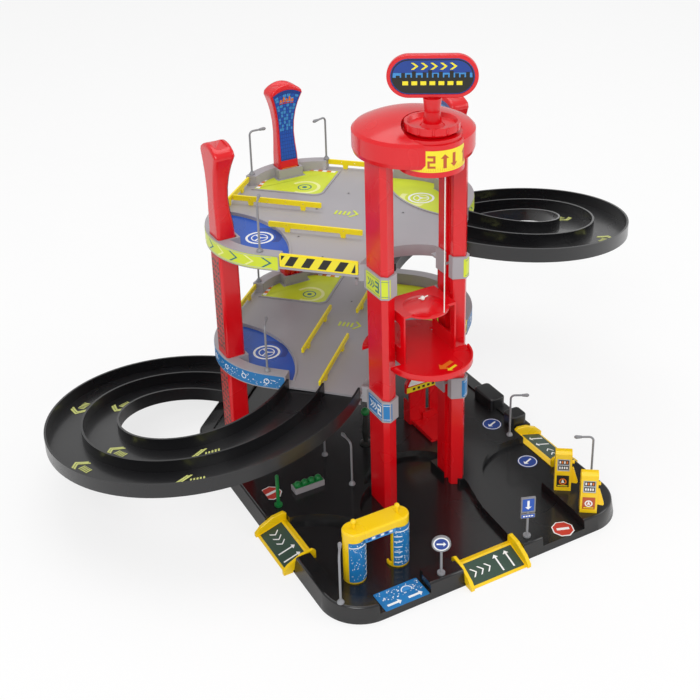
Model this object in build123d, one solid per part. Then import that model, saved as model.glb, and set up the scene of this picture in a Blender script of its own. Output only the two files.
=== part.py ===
from build123d import *
import os
from math import acos, atan2, cos, degrees, hypot, sin, sqrt

os.makedirs("parts", exist_ok=True)

# All sizes are in millimetres. The origin is on the underside of the base,
# below the middle of the tower; the lift is on the -Y side, which is the front.

# --- base plate ---
BASE_HALF_X = 177.0
BASE_FRONT = -312.0
BASE_BACK = 178.0
BASE_CHAMFER = 120.0
BASE_CORNER_R = 45.0
BASE_TOP = 18.0
BASE_DRAFT = 3.0
BORDER = 19.0
FLOOR_LOW = 8.0
FLOOR_HIGH = 16.0
BASE_SHEET = 3.0
ENTRY_WIDTH = 74.0
SIDE_ENTRY_Y = -171.0
ENTRIES = ("left", "front", "right")
ENTRY_DEEP = 21.0
ENTRY_LOW = 2.5
ENTRY_TAIL = 5.0

# --- decks ---
DECK_HALF = 140.0
DECK_CORNER_R = 92.0
DECK_TIP = DECK_HALF * sqrt(2)
DECK_REACH = DECK_TIP - DECK_CORNER_R * (sqrt(2) - 1)
DECK_ROAD = {2: 135.0, 3: 280.0}
DECK_SHEET = 2.5
DECK_WALL = 2.4
RIM_UP = 12.0
LEDGE = 13.0
PAD_AT = DECK_TIP
PAD_R = 120.0
PAD_SINK = 2.5
KERB = 2.0
KERB_H = 1.4
SKIRT_DOWN = 6.0
BAND_DOWN = 13.0
GATE_WIDTH = 86.0
GATE_SHIFT = 16.5

# --- lift ---
BAY_R = 62.0
POST_IN = 35.0
POST_OUT = 51.0
POST_BACK = POST_OUT - DECK_TIP
POST_FRONT = POST_BACK - 34.0
LIFT_Y = POST_FRONT - 3.0
BAY_Y = POST_BACK - 16.0
POST_WALL = 2.0
COLLAR = 1.8
FIT_GAP = 0.2
GROOVE_Y = POST_BACK - 19.0
GROOVE_W = 8.0
GROOVE_D = 3.5
CAP_BOTTOM = 412.0
CAP_R = 61.0
CAP_Y = POST_BACK - 8.0
CAP_SIDE = 25.0
CAP_WALL = 2.4
CAP_DOME = 14.0
SPINDLE_Y = POST_BACK - 43.0
DRUM_R = 32.0
DRUM_Y = SPINDLE_Y + 2.0
DRUM_BOTTOM = 404.0
DRUM_TOP = 440.0
STRING_R = 0.6
STRING_Y = SPINDLE_Y + 18.0
STRING_TOP = 425.0
SPOOL_R = 9.0
SHAFT_R = 3.0
RUN_GAP = 0.3
RUN_FIT = 0.08
KNOB_R = 27.0
KNOB_H = 11.0
POST_R = 9.0
SIGN_Z = 495.0
SIGN_LONG = 86.0
SIGN_HIGH = 42.0
SIGN_T = 7.0
SIGN_TURN = -32.0
SIGN_EDGE = 3.5
TANG = 6.0
TANG_DEEP = 8.0
CABIN_FLOOR = 190.0
CABIN_R = 46.0
CABIN_REAR_R = 59.0
CABIN_HALF = 31.5
CABIN_H = 56.0
CABIN_SHEET = 3.0
PIT_GAP = 1.5
CANOPY_R = 25.0
KNOT_R = 2.4
KNOT_Z = CABIN_FLOOR + CABIN_H + 6.3

# --- corner columns ---
COLUMN_X = 22.0
COLUMN_INSET = 2.9
COLUMN_AT = DECK_REACH - COLUMN_INSET - COLUMN_X / 2
COLUMN_Y = 27.0
FINIAL_H = 118.0

# --- spiral ramps ---
RING_AT = DECK_TIP - 20.0
LANE = 40.0
RING_WALL = 2.4
RING_WALL_H = 14.0
RING_SHEET = 2.0
RING_DROP = 3.2
RING_OVER = 3.0
RING_LIP = 9.0

# --- small furniture ---
RAIL_LONG = 108.0
RAIL_T = 2.4
RAIL_H = 6.0
RAIL_LIFT = 5.0
PEG_R = 1.2
PEG_GAP = 0.05
LAMP_H = 55.0
LAMP_R = 1.2
LAMP_ARM = 20.0
LAMP_BEND = 5.0
LAMP_FOOT = 3.6
WASH_X = 72.0 - BASE_HALF_X
WASH_Y = BASE_FRONT + 60.0
WASH_HALF = 37.0
WASH_ROOF = 60.0
ROLLER_R = 6.0
BRUSH_SHAFT = 1.5
PUMP_W = 18.0
PUMP_D = 13.0
PUMP_H = 50.0
GANTRY_X = 75.0
GANTRY_Y = -62.0
PLANTER_X = 67.0 - BASE_HALF_X
PLANTER_Y = -108.0
PUMP_X = BASE_HALF_X - 47.0


def block(x0, x1, y0, y1, z0, z1):
    """Box between two corners."""
    size = (x1 - x0, y1 - y0, z1 - z0)
    return Pos((x0 + x1) / 2, (y0 + y1) / 2, (z0 + z1) / 2) * Box(*size)


def rod(x, y, z0, z1, r):
    """Upright cylinder."""
    return Pos(x, y, (z0 + z1) / 2) * Cylinder(r, z1 - z0)


def prism(points, z0, z1, taper=0.0):
    """Upright prism over a polygon."""
    face = make_face(Polyline(*points, close=True))
    return Pos(0, 0, z0) * extrude(face, z1 - z0, dir=(0, 0, 1), taper=taper)


def save(name, *solids):
    """Write one named piece, or a group of equal pieces."""
    found = []
    for shape in solids:
        found.extend(shape.solids())
    out = found[0] if len(found) == 1 else Compound(children=found)
    export_step(out, os.path.join("parts", name + ".step"))
    print(name, len(found), round(sum(s.volume for s in found)))


# ---------------------------------------------------------------- outlines

def base_face(inset):
    """Plan of the base: rounded front corners and cut back corners."""
    x = BASE_HALF_X
    cut = BASE_CHAMFER
    points = [(-x, BASE_FRONT), (x, BASE_FRONT), (x, BASE_BACK - cut)]
    points += [(x - cut, BASE_BACK), (cut - x, BASE_BACK), (-x, BASE_BACK - cut)]
    face = make_face(Polyline(*points, close=True))
    front = face.vertices().filter_by(lambda v: v.Y < BASE_FRONT + 1)
    face = fillet(front, BASE_CORNER_R)
    rest = face.vertices().filter_by(lambda v: v.Y > 0)
    face = fillet(rest, BASE_CORNER_R / 2)
    return offset(face, -inset) if inset else face


def deck_face(inset):
    """Plan of a deck: a square on its corner, rounded except at the lift."""
    c = DECK_TIP
    f = c + POST_BACK - 3
    face = make_face(Polyline((-f, f - c), (f, f - c), (c, 0), (0, c), (-c, 0), close=True))
    face = fillet(face.vertices().filter_by(lambda v: v.Y > -1), DECK_CORNER_R)
    return offset(face, -inset) if inset else face


def bay_cut(z0, z1, grow=0.0):
    """Round hole for the lift, leaving lugs that carry the lift columns."""
    hole = rod(0, BAY_Y, z0, z1, BAY_R + grow)
    for side in (-1, 1):
        xs = sorted((side * (POST_IN - 2), side * 70))
        hole -= block(*xs, POST_BACK - 5, POST_BACK + 11, z0 - 1, z1 + 1)
    return hole


def post_points(side, grow=0.0):
    """Plan of one lift column, with a creased front and a guide groove."""
    a = POST_IN - grow
    b = POST_OUT + grow
    f = POST_FRONT - grow
    r = POST_BACK + grow
    nose = (a + b) / 2 + 3
    g0 = GROOVE_Y - GROOVE_W / 2
    g1 = GROOVE_Y + GROOVE_W / 2
    g = POST_IN + GROOVE_D
    points = [(a, f + 6), (nose, f), (b, f + 5), (b, r), (a, r)]
    points += [(a, g1), (g, g1), (g, g0), (a, g0)]
    return [(side * x, y) for x, y in points]


# ---------------------------------------------------------------- base plate

def spot_entry(which, shape):
    """Put a shape drawn for a gap in the front border at one of the entries."""
    if which == "front":
        return Pos(0, BASE_FRONT, 0) * shape
    side = -1 if which == "left" else 1
    return Pos(side * BASE_HALF_X, SIDE_ENTRY_Y, 0) * Rot(0, 0, side * 90) * shape


def entry_wedge():
    """Sloped gap of the border that takes an entry ramp."""
    inner = ENTRY_DEEP + ENTRY_TAIL + FIT_GAP
    profile = [(-6, 1), (-6, 40), (inner, 40), (inner, FLOOR_LOW), (ENTRY_DEEP, FLOOR_LOW)]
    profile += [(0, ENTRY_LOW), (-6, 1)]
    face = make_face(Plane.YZ * Polyline(*profile))
    return extrude(face, ENTRY_WIDTH / 2, both=True)


def base_openings():
    """Places where the border is cut away for wheels."""
    z0, z1 = FLOOR_LOW, BASE_TOP + 5
    front = BASE_FRONT - 5
    deep = BASE_FRONT + BORDER + 1
    cuts = [spot_entry(which, entry_wedge()) for which in ENTRIES]
    cuts.append(block(WASH_X - 29, WASH_X + 29, front, deep, z0, z1))
    cuts.append(block(61, 115, front, deep, z0, z1))
    return cuts


def low_floor():
    """The sunk driving floor: three round scallops and the lanes to them."""
    z0, z1 = FLOOR_LOW, FLOOR_HIGH + 1
    inner = BASE_FRONT + BORDER
    left = -BASE_HALF_X + BORDER
    parts = [rod(14 - BASE_HALF_X, -228, z0, z1, 84) & block(left, 0, inner, 0, z0, z1)]
    parts.append(rod(-20, -197, z0, z1, 64))
    parts.append(rod(PUMP_X, -215, z0, z1, 66) & block(0, -left, inner, 0, z0, z1))
    parts.append(block(left, -60, inner, -228, z0, z1))
    lane = [(-85, inner), (34, inner), (37, -235), (44, -197), (-84, -197)]
    parts.append(prism(lane, z0, z1))
    parts.append(block(64, PUMP_X - 14, inner, -215, z0, z1))
    parts.append(cabin_plan(z0, z1, PIT_GAP))
    reach = POST_IN + GROOVE_D
    parts.append(block(-reach, reach, GROOVE_Y - GROOVE_W / 2, GROOVE_Y + GROOVE_W / 2, z0, z1))
    return parts


def make_base():
    skin = Pos(0, 0, 0) * loft([base_face(0), Pos(0, 0, BASE_TOP) * base_face(BASE_DRAFT)])
    top = skin.faces().sort_by(Axis.Z)[-1]
    skin = fillet(top.edges(), 2.5)
    sunk = Pos(0, 0, FLOOR_HIGH) * extrude(base_face(BORDER), 10)
    body = skin - sunk
    body -= low_floor()
    body -= base_openings()
    pump_island = block(PUMP_X - 14, BASE_HALF_X - BORDER + 1, BASE_FRONT + BORDER, -234, FLOOR_LOW, BASE_TOP)
    body += pump_island
    kerb = block(-74, -40, BASE_FRONT + BORDER - 1, BASE_FRONT + BORDER + 7, FLOOR_LOW, BASE_TOP)
    body += kerb
    for y0, y1 in ((-132, -112), (-88, -50)):
        bump = block(BASE_HALF_X - 28, BASE_HALF_X - 6, y0, y1, FLOOR_HIGH, 31)
        bump = fillet(bump.edges().filter_by(Axis.Z), 5)
        body += fillet(bump.faces().sort_by(Axis.Z)[-1].edges(), 2)
    hollow = extrude(base_face(6), FLOOR_LOW - BASE_SHEET)
    keep = [block(-24, 24, -24, 24, -1, 9)]
    for x in (-100, 0, 100):
        keep.append(block(x - 1.5, x + 1.5, BASE_FRONT, BASE_BACK, -1, 9))
    for y in (-230, -115, 0, 115):
        keep.append(block(-BASE_HALF_X, BASE_HALF_X, y - 1.5, y + 1.5, -1, 9))
    for which in ENTRIES:
        keep.append(spot_entry(which, block(-ENTRY_WIDTH / 2 - 2, ENTRY_WIDTH / 2 + 2, 0, 26, -1, 9)))
    hollow -= keep
    body -= hollow
    for side in (-1, 1):
        body -= prism(post_points(side, FIT_GAP), FLOOR_LOW, FLOOR_HIGH + 3)
    for turn in (0, 90, 180):
        body -= Rot(0, 0, -turn) * column_blank(FLOOR_LOW, FLOOR_HIGH + 3, FIT_GAP)
    return body


# ---------------------------------------------------------------- decks

def gate_block(turn, along, grow, z0, z1):
    """Box over one gate of a deck wall; turn picks the side of the square."""
    w = GATE_WIDTH / 2 + grow
    return Rot(0, 0, turn) * block(along - w, along + w, DECK_HALF - LEDGE - 1, DECK_HALF + 12, z0, z1)


# Side of the square (as a turn of the +Y side) and shift of its gate.
GATES = {"front_left": (135, -GATE_SHIFT), "front_right": (-135, GATE_SHIFT),
         "back_left": (45, GATE_SHIFT), "back_right": (-45, -GATE_SHIFT)}


def deck_kerbs(z):
    """Low kerbs that mark the corner pads and the back parking bay."""
    kerbs = []
    field = Pos(0, 0, z - 1) * extrude(deck_face(LEDGE - 1), 4)
    for side in (-1, 1):
        ring = rod(side * PAD_AT, 0, z - 0.5, z + KERB_H, PAD_R)
        kerbs.append((ring - rod(side * PAD_AT, 0, z - 1, z + 5, PAD_R - KERB)) & field)
    u, v = 46, 40
    bay = block(u, DECK_HALF - 10, v, DECK_HALF - 10, z - 0.5, z + KERB_H)
    bay = fillet(bay.edges().filter_by(Axis.Z).group_by(Axis.X)[0].sort_by(Axis.Y)[:1], 12)
    inner = block(u + KERB, DECK_HALF, v + KERB, DECK_HALF, z - 1, z + 5)
    inner = fillet(inner.edges().filter_by(Axis.Z).group_by(Axis.X)[0].sort_by(Axis.Y)[:1], 10)
    kerbs.append((Rot(0, 0, 45) * (bay - inner)) & field)
    return kerbs


def pads(z0, z1, r, inset):
    """Plan of the sunk corner pads inside the raised border."""
    field = Pos(0, 0, z0) * extrude(deck_face(inset), z1 - z0)
    return [rod(side * PAD_AT, 0, z0 - 1, z1 + 1, r) & field for side in (-1, 1)]


def under_ledge(road):
    """Room under the raised border, open from below."""
    z0, z1 = road - DECK_SHEET - 0.1, road + RIM_UP - DECK_WALL
    plan = deck_face(DECK_WALL) - deck_face(LEDGE - DECK_WALL)
    room = Pos(0, 0, z0) * extrude(plan, z1 - z0)
    for turn, shift in GATES.values():
        room -= gate_block(turn, shift, DECK_WALL, z0 - 1, z1 + 1)
    for turn in (0, 90, 180):
        room -= Rot(0, 0, -turn) * column_boss(z0 - 1, z1 + 1)
    return room - lift_side(z0 - 1, z1 + 1)


def lift_side(z0, z1):
    """Block over the corner of a deck where the lift stands."""
    return block(-90, 90, POST_BACK - 53, POST_BACK + 27, z0, z1)


def column_boss(z0, z1):
    """Block round the socket of a corner column."""
    x, y, w = COLUMN_X / 2 + DECK_WALL, COLUMN_Y / 2 + DECK_WALL, COLUMN_AT
    return block(-w - x, -w + x, -y, y, z0, z1)


def make_deck(level):
    road = DECK_ROAD[level]
    low = road - SKIRT_DOWN
    rim = road + RIM_UP
    shell = Pos(0, 0, low) * extrude(deck_face(0), rim - low)
    shell -= Pos(0, 0, road) * extrude(deck_face(LEDGE), RIM_UP + 1)
    front = Pos(0, 0, road) * extrude(deck_face(DECK_WALL), RIM_UP + 1)
    shell -= front & lift_side(road, rim + 1)
    for turn, shift in GATES.values():
        shell -= gate_block(turn, shift, 0, road, rim + 1)
    below = Pos(0, 0, low - 1) * extrude(deck_face(DECK_WALL), SKIRT_DOWN + 1 - DECK_SHEET)
    sheet = road - PAD_SINK - DECK_SHEET
    shell -= below - pads(sheet, road, PAD_R, LEDGE - DECK_WALL)
    shell -= pads(road - PAD_SINK, road + 1, PAD_R - KERB, LEDGE)
    shell -= under_ledge(road)
    shell -= bay_cut(low - 1, rim + 1)
    skirt = bay_cut(road - BAND_DOWN, road, DECK_WALL) - bay_cut(0, road + 1)
    skirt &= Pos(0, 0, road - BAND_DOWN) * extrude(deck_face(0), BAND_DOWN)
    shell += skirt
    for side in (-1, 1):
        shell += prism(post_points(side, COLLAR + FIT_GAP), road - BAND_DOWN, rim)
    for side in (-1, 1):
        core = prism(post_points(side, FIT_GAP), road - BAND_DOWN - 1, road - 3)
        core += prism(post_points(side, FIT_GAP), road, rim + 1)
        shell -= core
        g = GROOVE_W / 2
        xs = sorted((side * (POST_IN - COLLAR - 2), side * (POST_IN + GROOVE_D)))
        shell -= block(*xs, GROOVE_Y - g, GROOVE_Y + g, 0, rim + 1)
    for name in ("front_left", "front_right"):
        shell -= gate_block(*GATES[name], 0, low - 1, road - DECK_SHEET)
    shell += deck_kerbs(road)
    for turn in (0, 90, 180):
        spot = Rot(0, 0, -turn)
        edge = Pos(0, 0, low) * extrude(deck_face(0), rim - low)
        shell += spot * column_boss(low, rim) & edge
        shell -= spot * column_blank(low - 1, road - 2, FIT_GAP)
        shell -= spot * column_blank(road, rim + 5, FIT_GAP)
    for x, y, turn, long in rail_places(level):
        for peg in rail_pegs(long):
            hole = rod(peg, 0, low - 5, road + 1, PEG_R + PEG_GAP)
            shell -= Pos(x, y, 0) * Rot(0, 0, turn) * hole
    return shell


# ---------------------------------------------------------------- columns

def column_blank(z0, z1, grow=0.0):
    """Outer form of the left corner column, used for its sockets as well."""
    x0 = -COLUMN_AT - COLUMN_X / 2 - grow
    x1 = -COLUMN_AT + COLUMN_X / 2 + grow
    y = COLUMN_Y / 2 + grow
    body = block(x0, x1, -y, y, z0, z1)
    return fillet(body.edges().filter_by(Axis.Z), 3)


def corner_column(z0, z1, turn):
    body = column_blank(z0, z1)
    inner = -COLUMN_AT + COLUMN_X / 2
    for y in (-8, 0, 8):
        body -= block(inner - 2, inner + 5, y - 2, y + 2, z0 + 8, z1 + 1)
    body -= block(-COLUMN_AT - COLUMN_X / 2 + 2, inner - 4, -COLUMN_Y / 2 + 2, COLUMN_Y / 2 - 2, z0 - 1, z1 + 1)
    return Rot(0, 0, -turn) * body


def lift_column(side, z0, z1):
    body = prism(post_points(side), z0, z1)
    xs = sorted((side * (POST_IN + GROOVE_D + POST_WALL), side * (POST_OUT - POST_WALL)))
    body -= block(*xs, POST_FRONT + 8, POST_BACK - POST_WALL, z0 - 1, z1 + 1)
    mid = side * (POST_OUT - 3)
    body -= Pos(mid, POST_FRONT, (z0 + z1) / 2) * Rot(0, 0, 45) * Box(2, 2, z1 - z0 + 2)
    return body


def section(x0, x1, half_y, z, r):
    """One cross-section of a finial."""
    return Pos((x0 + x1) / 2, 0, z) * RectangleRounded(x1 - x0, 2 * half_y, r)


def finial(turn):
    """Flared post head: straight outside, waisted and leaning in on the inside."""
    z = DECK_ROAD[3]
    out = -COLUMN_AT - COLUMN_X / 2
    rows = [(0, 21.4, 13.0), (20, 20.6, 12.7), (52, 16, 11.0), (84, 18, 13.5), (106, 23, 18.0)]
    body = loft([section(out, out + w, y, z + up, 3.4) for up, w, y in rows])
    crown = section(out, out + rows[-1][1], rows[-1][2], z + rows[-1][0], 3.4)
    tip = section(out + 2, out + 14, 12, z + FINIAL_H, 3.4)
    body += loft([crown, tip])
    return Rot(0, 0, -turn) * body


# ---------------------------------------------------------------- lift

def dome(r, z0, z1, rise, lip):
    """Round cap with upright side and a domed top."""
    rim = [(0, z0), (r - lip, z0), (r, z0 + 3 * lip), (r, z1 - 2 * lip), (r - 2 * lip, z1)]
    ball = (rim[-1][0] ** 2 + rise ** 2) / (2 * rise)
    half = r / 2
    top = ThreePointArc(rim[-1], (half, z1 + rise - ball + sqrt(ball ** 2 - half ** 2)), (0, z1 + rise))
    face = make_face(Plane.XZ * (Polyline(*rim) + top + Line((0, z1 + rise), rim[0])))
    return Pos(0, CAP_Y, 0) * revolve(face, Axis.Z)


def make_cap():
    z0, z1 = CAP_BOTTOM, CAP_BOTTOM + CAP_SIDE
    drum = rod(0, DRUM_Y, DRUM_BOTTOM, DRUM_TOP - 4, DRUM_R)
    drum += rod(0, DRUM_Y, DRUM_TOP - 4, DRUM_TOP, DRUM_R - 2)
    room = dome(CAP_R - CAP_WALL, z0 - 5, z1 - 1, CAP_DOME - CAP_WALL + 1, 1.0)
    room -= rod(0, DRUM_Y, 0, 500, DRUM_R)
    for side in (-1, 1):
        room -= prism(post_points(side, FIT_GAP + POST_WALL), z0, 500)
    body = dome(CAP_R, z0, z1, CAP_DOME, 1.5) - room + drum
    body -= rod(0, SPINDLE_Y, DRUM_TOP, 500, KNOB_R + 3)
    body -= rod(0, DRUM_Y, DRUM_BOTTOM - 1, DRUM_TOP - 3, DRUM_R - CAP_WALL)
    for side in (-1, 1):
        body -= prism(post_points(side, FIT_GAP), z0 - 1, z1 - 4 + FIT_GAP)
    body -= rod(0, SPINDLE_Y, DRUM_TOP - 10, DRUM_TOP + 5, SHAFT_R + RUN_FIT)
    body += block(-5, 5, STRING_Y - 6, DRUM_Y + DRUM_R - 1, STRING_TOP - 14, STRING_TOP - 10)
    body -= rod(0, STRING_Y, STRING_TOP - 20, STRING_TOP, STRING_R + RUN_GAP)
    return body


def make_winder():
    """Turning knob with the post that holds the sign, and its spindle."""
    z = DRUM_TOP + RUN_GAP
    top = SIGN_Z - SIGN_HIGH / 2 - FIT_GAP
    r = KNOB_R
    dish = [(0, z), (r - 5, z), (r, z + 4), (r, z + KNOB_H), (r - 3, z + KNOB_H), (r - 5, z + 7)]
    dish += [(POST_R + 3, z + 6), (POST_R, z + 9), (POST_R - 1.5, z + 20), (POST_R, top), (0, top)]
    body = Pos(0, SPINDLE_Y, 0) * revolve(make_face(Plane.XZ * Polyline(*dish, close=True)), Axis.Z)
    for i in range(12):
        notch = rod(r + 0.6, 0, z + 4, z + KNOB_H + 1, 1.6)
        body -= Pos(0, SPINDLE_Y, 0) * Rot(0, 0, 30 * i) * notch
    body += rod(0, SPINDLE_Y, STRING_TOP - 7, z + 1, SHAFT_R)
    slot = block(-TANG - FIT_GAP, TANG + FIT_GAP, -SIGN_T / 2 + 1 - FIT_GAP, SIGN_T / 2 - 1 + FIT_GAP,
                 top - TANG_DEEP - FIT_GAP, top + 1)
    body -= Pos(0, SPINDLE_Y, 0) * Rot(0, 0, SIGN_TURN) * slot
    return body


def sign_blank(shrink, y0, y1):
    """Pill-shaped slab standing on edge."""
    face = SlotOverall(SIGN_LONG - 2 * shrink, SIGN_HIGH - 2 * shrink)
    body = Rot(90, 0, 0) * extrude(face, (y1 - y0) / 2, both=True)
    return Pos(0, (y0 + y1) / 2, 0) * body


def make_sign(panel):
    """Pill frame with a tang below, or the two panels let into its faces."""
    half = SIGN_T / 2
    deep = 2.4
    spot = Pos(0, SPINDLE_Y, SIGN_Z) * Rot(0, 0, SIGN_TURN)
    if panel:
        g = SIGN_EDGE + FIT_GAP
        front = sign_blank(g, -half + 0.8, -half + deep - 0.05)
        return [spot * front, spot * sign_blank(g, half - deep + 0.05, half - 0.8)]
    body = sign_blank(0, -half, half)
    body = fillet(body.faces().filter_by(Axis.Y).edges(), 1.2)
    body -= sign_blank(SIGN_EDGE, -half - 1, -half + deep)
    body -= sign_blank(SIGN_EDGE, half - deep, half + 1)
    low = -SIGN_HIGH / 2
    body += block(-TANG, TANG, -half + 1, half - 1, low - TANG_DEEP - FIT_GAP, low + SIGN_EDGE - 0.5)
    return [spot * body]


def make_spool():
    """Flanged spool with the cord wound on its barrel."""
    z = STRING_TOP
    rows = [(0, z - 8), (SPOOL_R + 4, z - 8), (SPOOL_R + 4, z - 5), (SPOOL_R, z - 5), (SPOOL_R, z + 5)]
    rows += [(SPOOL_R + 4, z + 5), (SPOOL_R + 4, z + 8), (0, z + 8)]
    body = Pos(0, SPINDLE_Y, 0) * revolve(make_face(Plane.XZ * Polyline(*rows, close=True)), Axis.Z)
    return body - rod(0, SPINDLE_Y, z - 7.2, z + 20, SHAFT_R + 0.02)


def hoist_string():
    """The cord from the spool to the eye in the cap and down to the cabin."""
    r = SPOOL_R + STRING_R + RUN_GAP + 0.1
    gap = STRING_Y - SPINDLE_Y
    turn = acos(r / gap)
    start = Vector(r * sin(turn), SPINDLE_Y + r * cos(turn), STRING_TOP)
    eye = Vector(0, STRING_Y, STRING_TOP)
    ahead = (eye - start).normalized()
    bend = 2.5
    a = eye - ahead * bend
    b = eye - Vector(0, 0, bend)
    mid = eye - ahead * bend * 0.293 - Vector(0, 0, bend * 0.293)
    low = Vector(0, STRING_Y, KNOT_Z + KNOT_R)
    path = Line(start, a) + ThreePointArc(a, mid, b) + Line(b, low)
    return sweep(Plane(start, z_dir=ahead) * Circle(STRING_R), path=path)


def cabin_plan(z0, z1, grow=0.0):
    """Slab with the outline of the cabin floor; also cuts its pit in the base."""
    w = CABIN_HALF + grow
    back = POST_BACK + 13 - grow
    slab = rod(0, LIFT_Y, z0, z1, CABIN_R + grow) & block(-60, 60, LIFT_Y - 60, LIFT_Y + grow, z0, z1)
    slab += block(-w, w, LIFT_Y - 5, back + 2, z0, z1)
    return slab + (rod(0, BAY_Y, z0, z1, CABIN_REAR_R + grow) & block(-70, 70, back, 0, z0, z1))


def make_cabin():
    z = CABIN_FLOOR
    t = CABIN_SHEET
    w = CABIN_HALF
    back = POST_BACK + 3
    floor = cabin_plan(z - t, z)
    lip = rod(0, LIFT_Y, z, z + 4, CABIN_R) - rod(0, LIFT_Y, z - 1, z + 9, CABIN_R - 2)
    lip &= block(-60, 60, LIFT_Y - 60, LIFT_Y - 6, z - t, z + 9)
    body = floor + lip
    for side in (-1, 1):
        xs = sorted((side * (w - 2), side * w))
        wall = block(*xs, LIFT_Y - 3, back, z - 1, z + CABIN_H)
        window = block(*[side * x for x in sorted((w - 4, w + 2), reverse=side < 0)],
                       LIFT_Y + 4, back - 6, z + 16, z + CABIN_H - 12)
        wall -= fillet(window.edges().filter_by(Axis.X), 4)
        body += wall
        ear = sorted((side * (w - 1), side * (POST_IN + GROOVE_D - 0.5)))
        g = GROOVE_W / 2 - 0.4
        body += block(*ear, GROOVE_Y - g, GROOVE_Y + g, z - t, z + 12)
        body += block(*ear, GROOVE_Y - g, GROOVE_Y + g, z + CABIN_H - 12, z + CABIN_H)
    roof_z = z + CABIN_H - t
    body += block(-w, w, LIFT_Y - 3, back, roof_z, roof_z + t)
    rise = 5.0
    ball = (CANOPY_R ** 2 + rise ** 2) / (2 * rise)
    half = CANOPY_R / 2
    arc = ThreePointArc((0, t + 4), (half, t + 4 - ball + sqrt(ball ** 2 - half ** 2)), (CANOPY_R, t - 1))
    edge = Polyline((CANOPY_R, t - 1), (CANOPY_R, 0), (0, 0), (0, t + 4))
    canopy = revolve(make_face(Plane.XZ * (arc + edge)), Axis.Z)
    body += Pos(0, STRING_Y - 4, roof_z) * canopy
    return body


def make_knot():
    """Knot of the cord on the canopy, with two short tails."""
    z = KNOT_Z
    knot = Pos(0, STRING_Y, z) * Sphere(KNOT_R)
    knot += Pos(3, STRING_Y, z + 0.4) * Rot(0, 75, 20) * Cylinder(STRING_R, 7)
    knot += Pos(-2.5, STRING_Y - 1, z + 0.6) * Rot(0, -70, -30) * Cylinder(STRING_R, 6)
    return knot - block(-20, 20, STRING_Y - 20, STRING_Y + 20, z + KNOT_R, z + 60)


# ---------------------------------------------------------------- spiral ramps

def ring_geometry():
    """Radius of the middle wall and the angle of its two ends."""
    x = (DECK_HALF - GATE_SHIFT) / sqrt(2)
    y = (DECK_HALF + GATE_SHIFT) / sqrt(2)
    return hypot(RING_AT - x, y), degrees(atan2(y, RING_AT - x))


def trough():
    """Cross-section of the two-lane track, middle wall at the origin."""
    w = LANE + RING_WALL / 2
    t = RING_WALL / 2
    h = RING_WALL_H
    points = [(-w, -RING_SHEET), (w, -RING_SHEET), (w, h), (w - RING_WALL, h), (w - RING_WALL, 0)]
    points += [(t, 0), (t, h), (-t, h), (-t, 0), (RING_WALL - w, 0), (RING_WALL - w, h), (-w, h)]
    return points


def left_ring(z_top, z_end):
    """Track that leaves the front-left gate and comes back at the rear."""
    radius, first = ring_geometry()
    span = 360 - 2 * first
    total = span + 2 * RING_OVER
    pitch = (z_top - z_end) * 360 / span
    helix = Helix(pitch=pitch, height=pitch * total / 360, radius=radius)
    plane = Plane(origin=(radius, 0, 0), x_dir=(1, 0, 0), z_dir=(0, -1, 0))
    face = make_face(plane * Polyline(*trough(), close=True))
    body = sweep(face, path=helix, is_frenet=True)
    foot = z_end - pitch * RING_OVER / 360
    body = Pos(-RING_AT, 0, foot) * Rot(0, 0, first - RING_OVER) * body
    area = offset(deck_face(0), 0.4)
    middle = (z_top + z_end) / 2
    body -= Pos(0, 0, z_top + 0.4) * extrude(area, 60)
    body -= Pos(0, 0, z_end - 30) * extrude(area, middle - z_end + 30)
    half = LANE + RING_WALL / 2 - 1
    turn, shift = GATES["back_left"]
    lip = block(shift - half, shift + half, DECK_HALF - RING_LIP, DECK_HALF + 5, 0, RING_SHEET)
    lip = chamfer(lip.edges().filter_by(Axis.X).sort_by(Axis.Y)[:2].sort_by(Axis.Z)[-1:], 1.2)
    lip = Pos(0, 0, z_end - RING_SHEET - 0.2) * Rot(0, 0, turn) * lip
    return body + lip


# ---------------------------------------------------------------- furniture

def entry_ramp(which):
    """Drive-up ramp with raised side wings, seated in a gap of the border."""
    w = ENTRY_WIDTH / 2 - 0.5
    g = 0.2
    end = ENTRY_DEEP
    tail = end + ENTRY_TAIL
    under = [(-0.6, 0), (-0.6, ENTRY_LOW + g), (0, ENTRY_LOW + g), (end, FLOOR_LOW + g), (tail, FLOOR_LOW + g)]
    over = [(tail, FLOOR_LOW + 0.8), (end, FLOOR_LOW + 2), (-9, 1.2), (-9, 0)]
    body = extrude(make_face(Plane.YZ * Polyline(*under, *over, close=True)), w, both=True)
    edge = [(tail, 17), (end + 2, 19.5), (10, 18), (-4, 11), (-11, 4), (-11, 0)]
    wing = extrude(make_face(Plane.YZ * Polyline(*under, *edge, close=True)), 4)
    wing = fillet(wing.faces().sort_by(Axis.X)[0].edges().filter_by(lambda e: e.center().Z > 9.5), 1.2)
    body += Pos(w - 4, 0, 0) * wing
    body += Pos(4 - w, 0, 0) * mirror(wing, about=Plane.YZ)
    return spot_entry(which, body)


def rail_pegs(long):
    return (-long / 2 + 22, long / 2 - 22)


def rail_places(level):
    """Middle of each guard rail, its turn and its length."""
    s = sqrt(0.5)
    spots = []

    def at(u, v, turn, long=RAIL_LONG):
        spots.append(((u - v) * s, (u + v) * s, turn, long))

    edge = DECK_HALF - 4
    at(GATE_SHIFT, edge, 45, GATE_WIDTH - 1)
    if level == 3:
        at(3, 80, 135)
        at(-57, 14, 135)
        at(edge, GATE_SHIFT, 135, GATE_WIDTH - 1)
    else:
        at(-24, 28, 45)
        at(-85, -12, 45)
        at(80, -6, 45)
    return spots


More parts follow.
